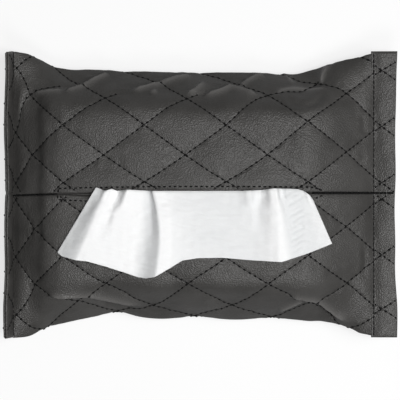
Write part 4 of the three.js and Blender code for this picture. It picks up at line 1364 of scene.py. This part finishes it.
def tissue_points():
    """Points of the leading tissue, from its tail over the lips to its free edge, and its whiteness across
    its width.
    """
    k = np.linspace(0, 1, 300)
    top_x, top_y = edge_place(k, TOP_EDGE)
    free_x, free_y = edge_place(k, FREE_EDGE)
    profiles = [curve(k, table, 1) for table in (NEAR_SLIT, MIDDLE, NEAR_EDGE)]
    ridge = LIP_Z + profiles[0]
    narrowed = TISSUE_X + (top_x - TISSUE_X) * TAIL_SHARE
    rows = []
    for z in np.linspace(*TAIL_Z, 12):
        drawn = TISSUE_X + (top_x - TISSUE_X) * mix(TAIL_END_SHARE, TAIL_SHARE, smooth((z - 42) / 7))
        rows.append(np.stack([drawn, TAIL_Y + 0.25 * np.sin(top_x / 4), np.full_like(k, z)], axis=-1))
    for share in (0.2, 0.45, 0.7, 0.85, 0.95):
        z = mix(TAIL_Z[1], ridge - PLY, math.sin(share * math.pi / 2))
        rows.append(np.stack([mix(narrowed, top_x, share), mix(TAIL_Y, top_y, share**1.6), z], axis=-1))
    v = np.concatenate([np.linspace(0, 0.12, 12)[:-1], np.linspace(0.12, 1, 90)])
    bow = PLEAT_BOW * np.exp(-(((k - PLEAT_AT) / 0.06) ** 2)) * TISSUE_SCALE
    for share in v:
        x = mix(top_x, free_x, share) + bow * np.sin(math.pi * share)
        y = mix(top_y, free_y, share)
        rest = resting_z(x, y) + PLY
        down = np.clip(top_y - y, 0, None)
        z = mix(np.maximum(LIP_Z, rest), rest, smooth(down / 14)) - 0.5 * (1 - smooth(down / 1.5))
        fold = mix(profiles[0], profiles[1], smooth((share - 0.08) / 0.24))
        fold = mix(fold, profiles[2], smooth((share - 0.3) / 0.5))
        fine = waves(x, y, 7, 10, 21) * 0.1 + waves(x * 0.35 + y, y * 0.9, 4, 8, 23) * 0.08
        rough = smooth((k - 0.84) / 0.03) * smooth((1 - k) / 0.05) * smooth(share / 0.1)
        creased = waves(0.2 * (x + y), y - 0.55 * x, 3.2, 9, 31) * 0.2 * rough
        level = waves(0.15 * x, y, 3.4, 9, 33) * 0.1 * np.exp(-(((k - 0.62) / 0.2) ** 2))
        z = z + fold + fine + creased + level
        rows.append(np.stack([x, y, np.maximum(z, rest - 0.2 + 0.2 * fine)], axis=-1))
    return np.stack(rows, axis=1), curve(k, TISSUE_WHITENESS, 1)


sheet_p, whiteness = tissue_points()
tissue = mesh_object(
    "tissue", sheet_p.reshape(-1, 3), grid_faces(sheet_p.shape[0], sheet_p.shape[1], flip=True), leading_paper
)
# How white the tissue's colour is across its width, from greyer to whiter
set_values(tissue, "layers", np.repeat(whiteness, sheet_p.shape[1]))
thicken(tissue, PLY, 0)
dress(tissue, "tissue", "tissue_sheet", body="tissue")

# Floor, light and camera. The floor glows to the camera, so that it looks white
FLOOR_GLOW = 0.72
# Dark leather mirrors the table only faintly in the photograph
FLOOR_GLOSS = 0.3


def floor_material():
    """White to the camera, and a plain grey table to the light that falls on it."""
    shader = Shader("floor")
    path = shader.nodes.new("ShaderNodeLightPath").outputs
    colour = shader.mixed(path["Is Camera Ray"], (0.25, 0.25, 0.25), (0.95, 0.95, 0.95))
    shader.feed(shader.surface, {"Base Color": colour, "Roughness": 0.9})
    glossy = shader.calculate("MULTIPLY", path["Is Glossy Ray"], FLOOR_GLOSS)
    reflected = shader.calculate("MAXIMUM", glossy, path["Is Transmission Ray"])
    seen = shader.calculate("MAXIMUM", path["Is Camera Ray"], reflected)
    glow = shader.node("ShaderNodeEmission", {"Color": (1, 1, 1), "Strength": 1.0}, "Emission")
    share = shader.calculate("MULTIPLY", seen, FLOOR_GLOW)
    parts = {0: share, 1: shader.surface.outputs["BSDF"], 2: glow}
    both = shader.node("ShaderNodeMixShader", parts, "Shader")
    shader.feed(shader.nodes["Material Output"], {"Surface": both})
    return shader.material


FLOOR_HALF = 3000
FLOOR_Z = -0.4
corners = [[FLOOR_HALF * x, FLOOR_HALF * y, FLOOR_Z] for x, y in ((-1, -1), (1, -1), (1, 1), (-1, 1))]
floor = mesh_object("floor", corners, [[0, 1, 2, 3]], floor_material())

world = bpy.data.worlds.new("studio")
bpy.context.scene.world = world
world.use_nodes = True
background = world.node_tree.nodes["Background"]
background.inputs["Color"].default_value = (1, 1, 1, 1)
background.inputs["Strength"].default_value = 0.04

COVER_MIDDLE = Vector((0, 0, 0.02))


def lamp(name, place, size, power):
    """A round lamp over the table, in metres and watts, that points at the cover's middle."""
    data = bpy.data.lights.new(name, "AREA")
    data.shape = "DISK"
    data.size = size
    data.energy = power
    obj = bpy.data.objects.new(name, data)
    obj.location = place
    obj.rotation_mode = "QUATERNION"
    obj.rotation_quaternion = (COVER_MIDDLE - Vector(place)).to_track_quat("-Z", "Y")
    bpy.context.scene.collection.objects.link(obj)


lamp("top", (0.28, -0.02, 1.8), 0.5, 14)
lamp("right", (0.95, -0.05, 1.5), 0.9, 12.4)
lamp("near", (0.15, -0.9, 1.55), 0.6, 7)
lamp("left", (-0.9, 0.1, 1.5), 1.5, 1.2)

SENSOR = 36
camera_data = bpy.data.cameras.new("camera")
camera = bpy.data.objects.new("camera", camera_data)
bpy.context.scene.collection.objects.link(camera)
camera.location = Vector(CAMERA) * MM
camera_data.sensor_width = SENSOR
camera_data.lens = SENSOR * (CAMERA[2] - SEAM_Z) / (FRAME * PIXEL)
camera_data.clip_end = 20
bpy.context.scene.camera = camera
bpy.context.scene.view_settings.view_transform = "Standard"
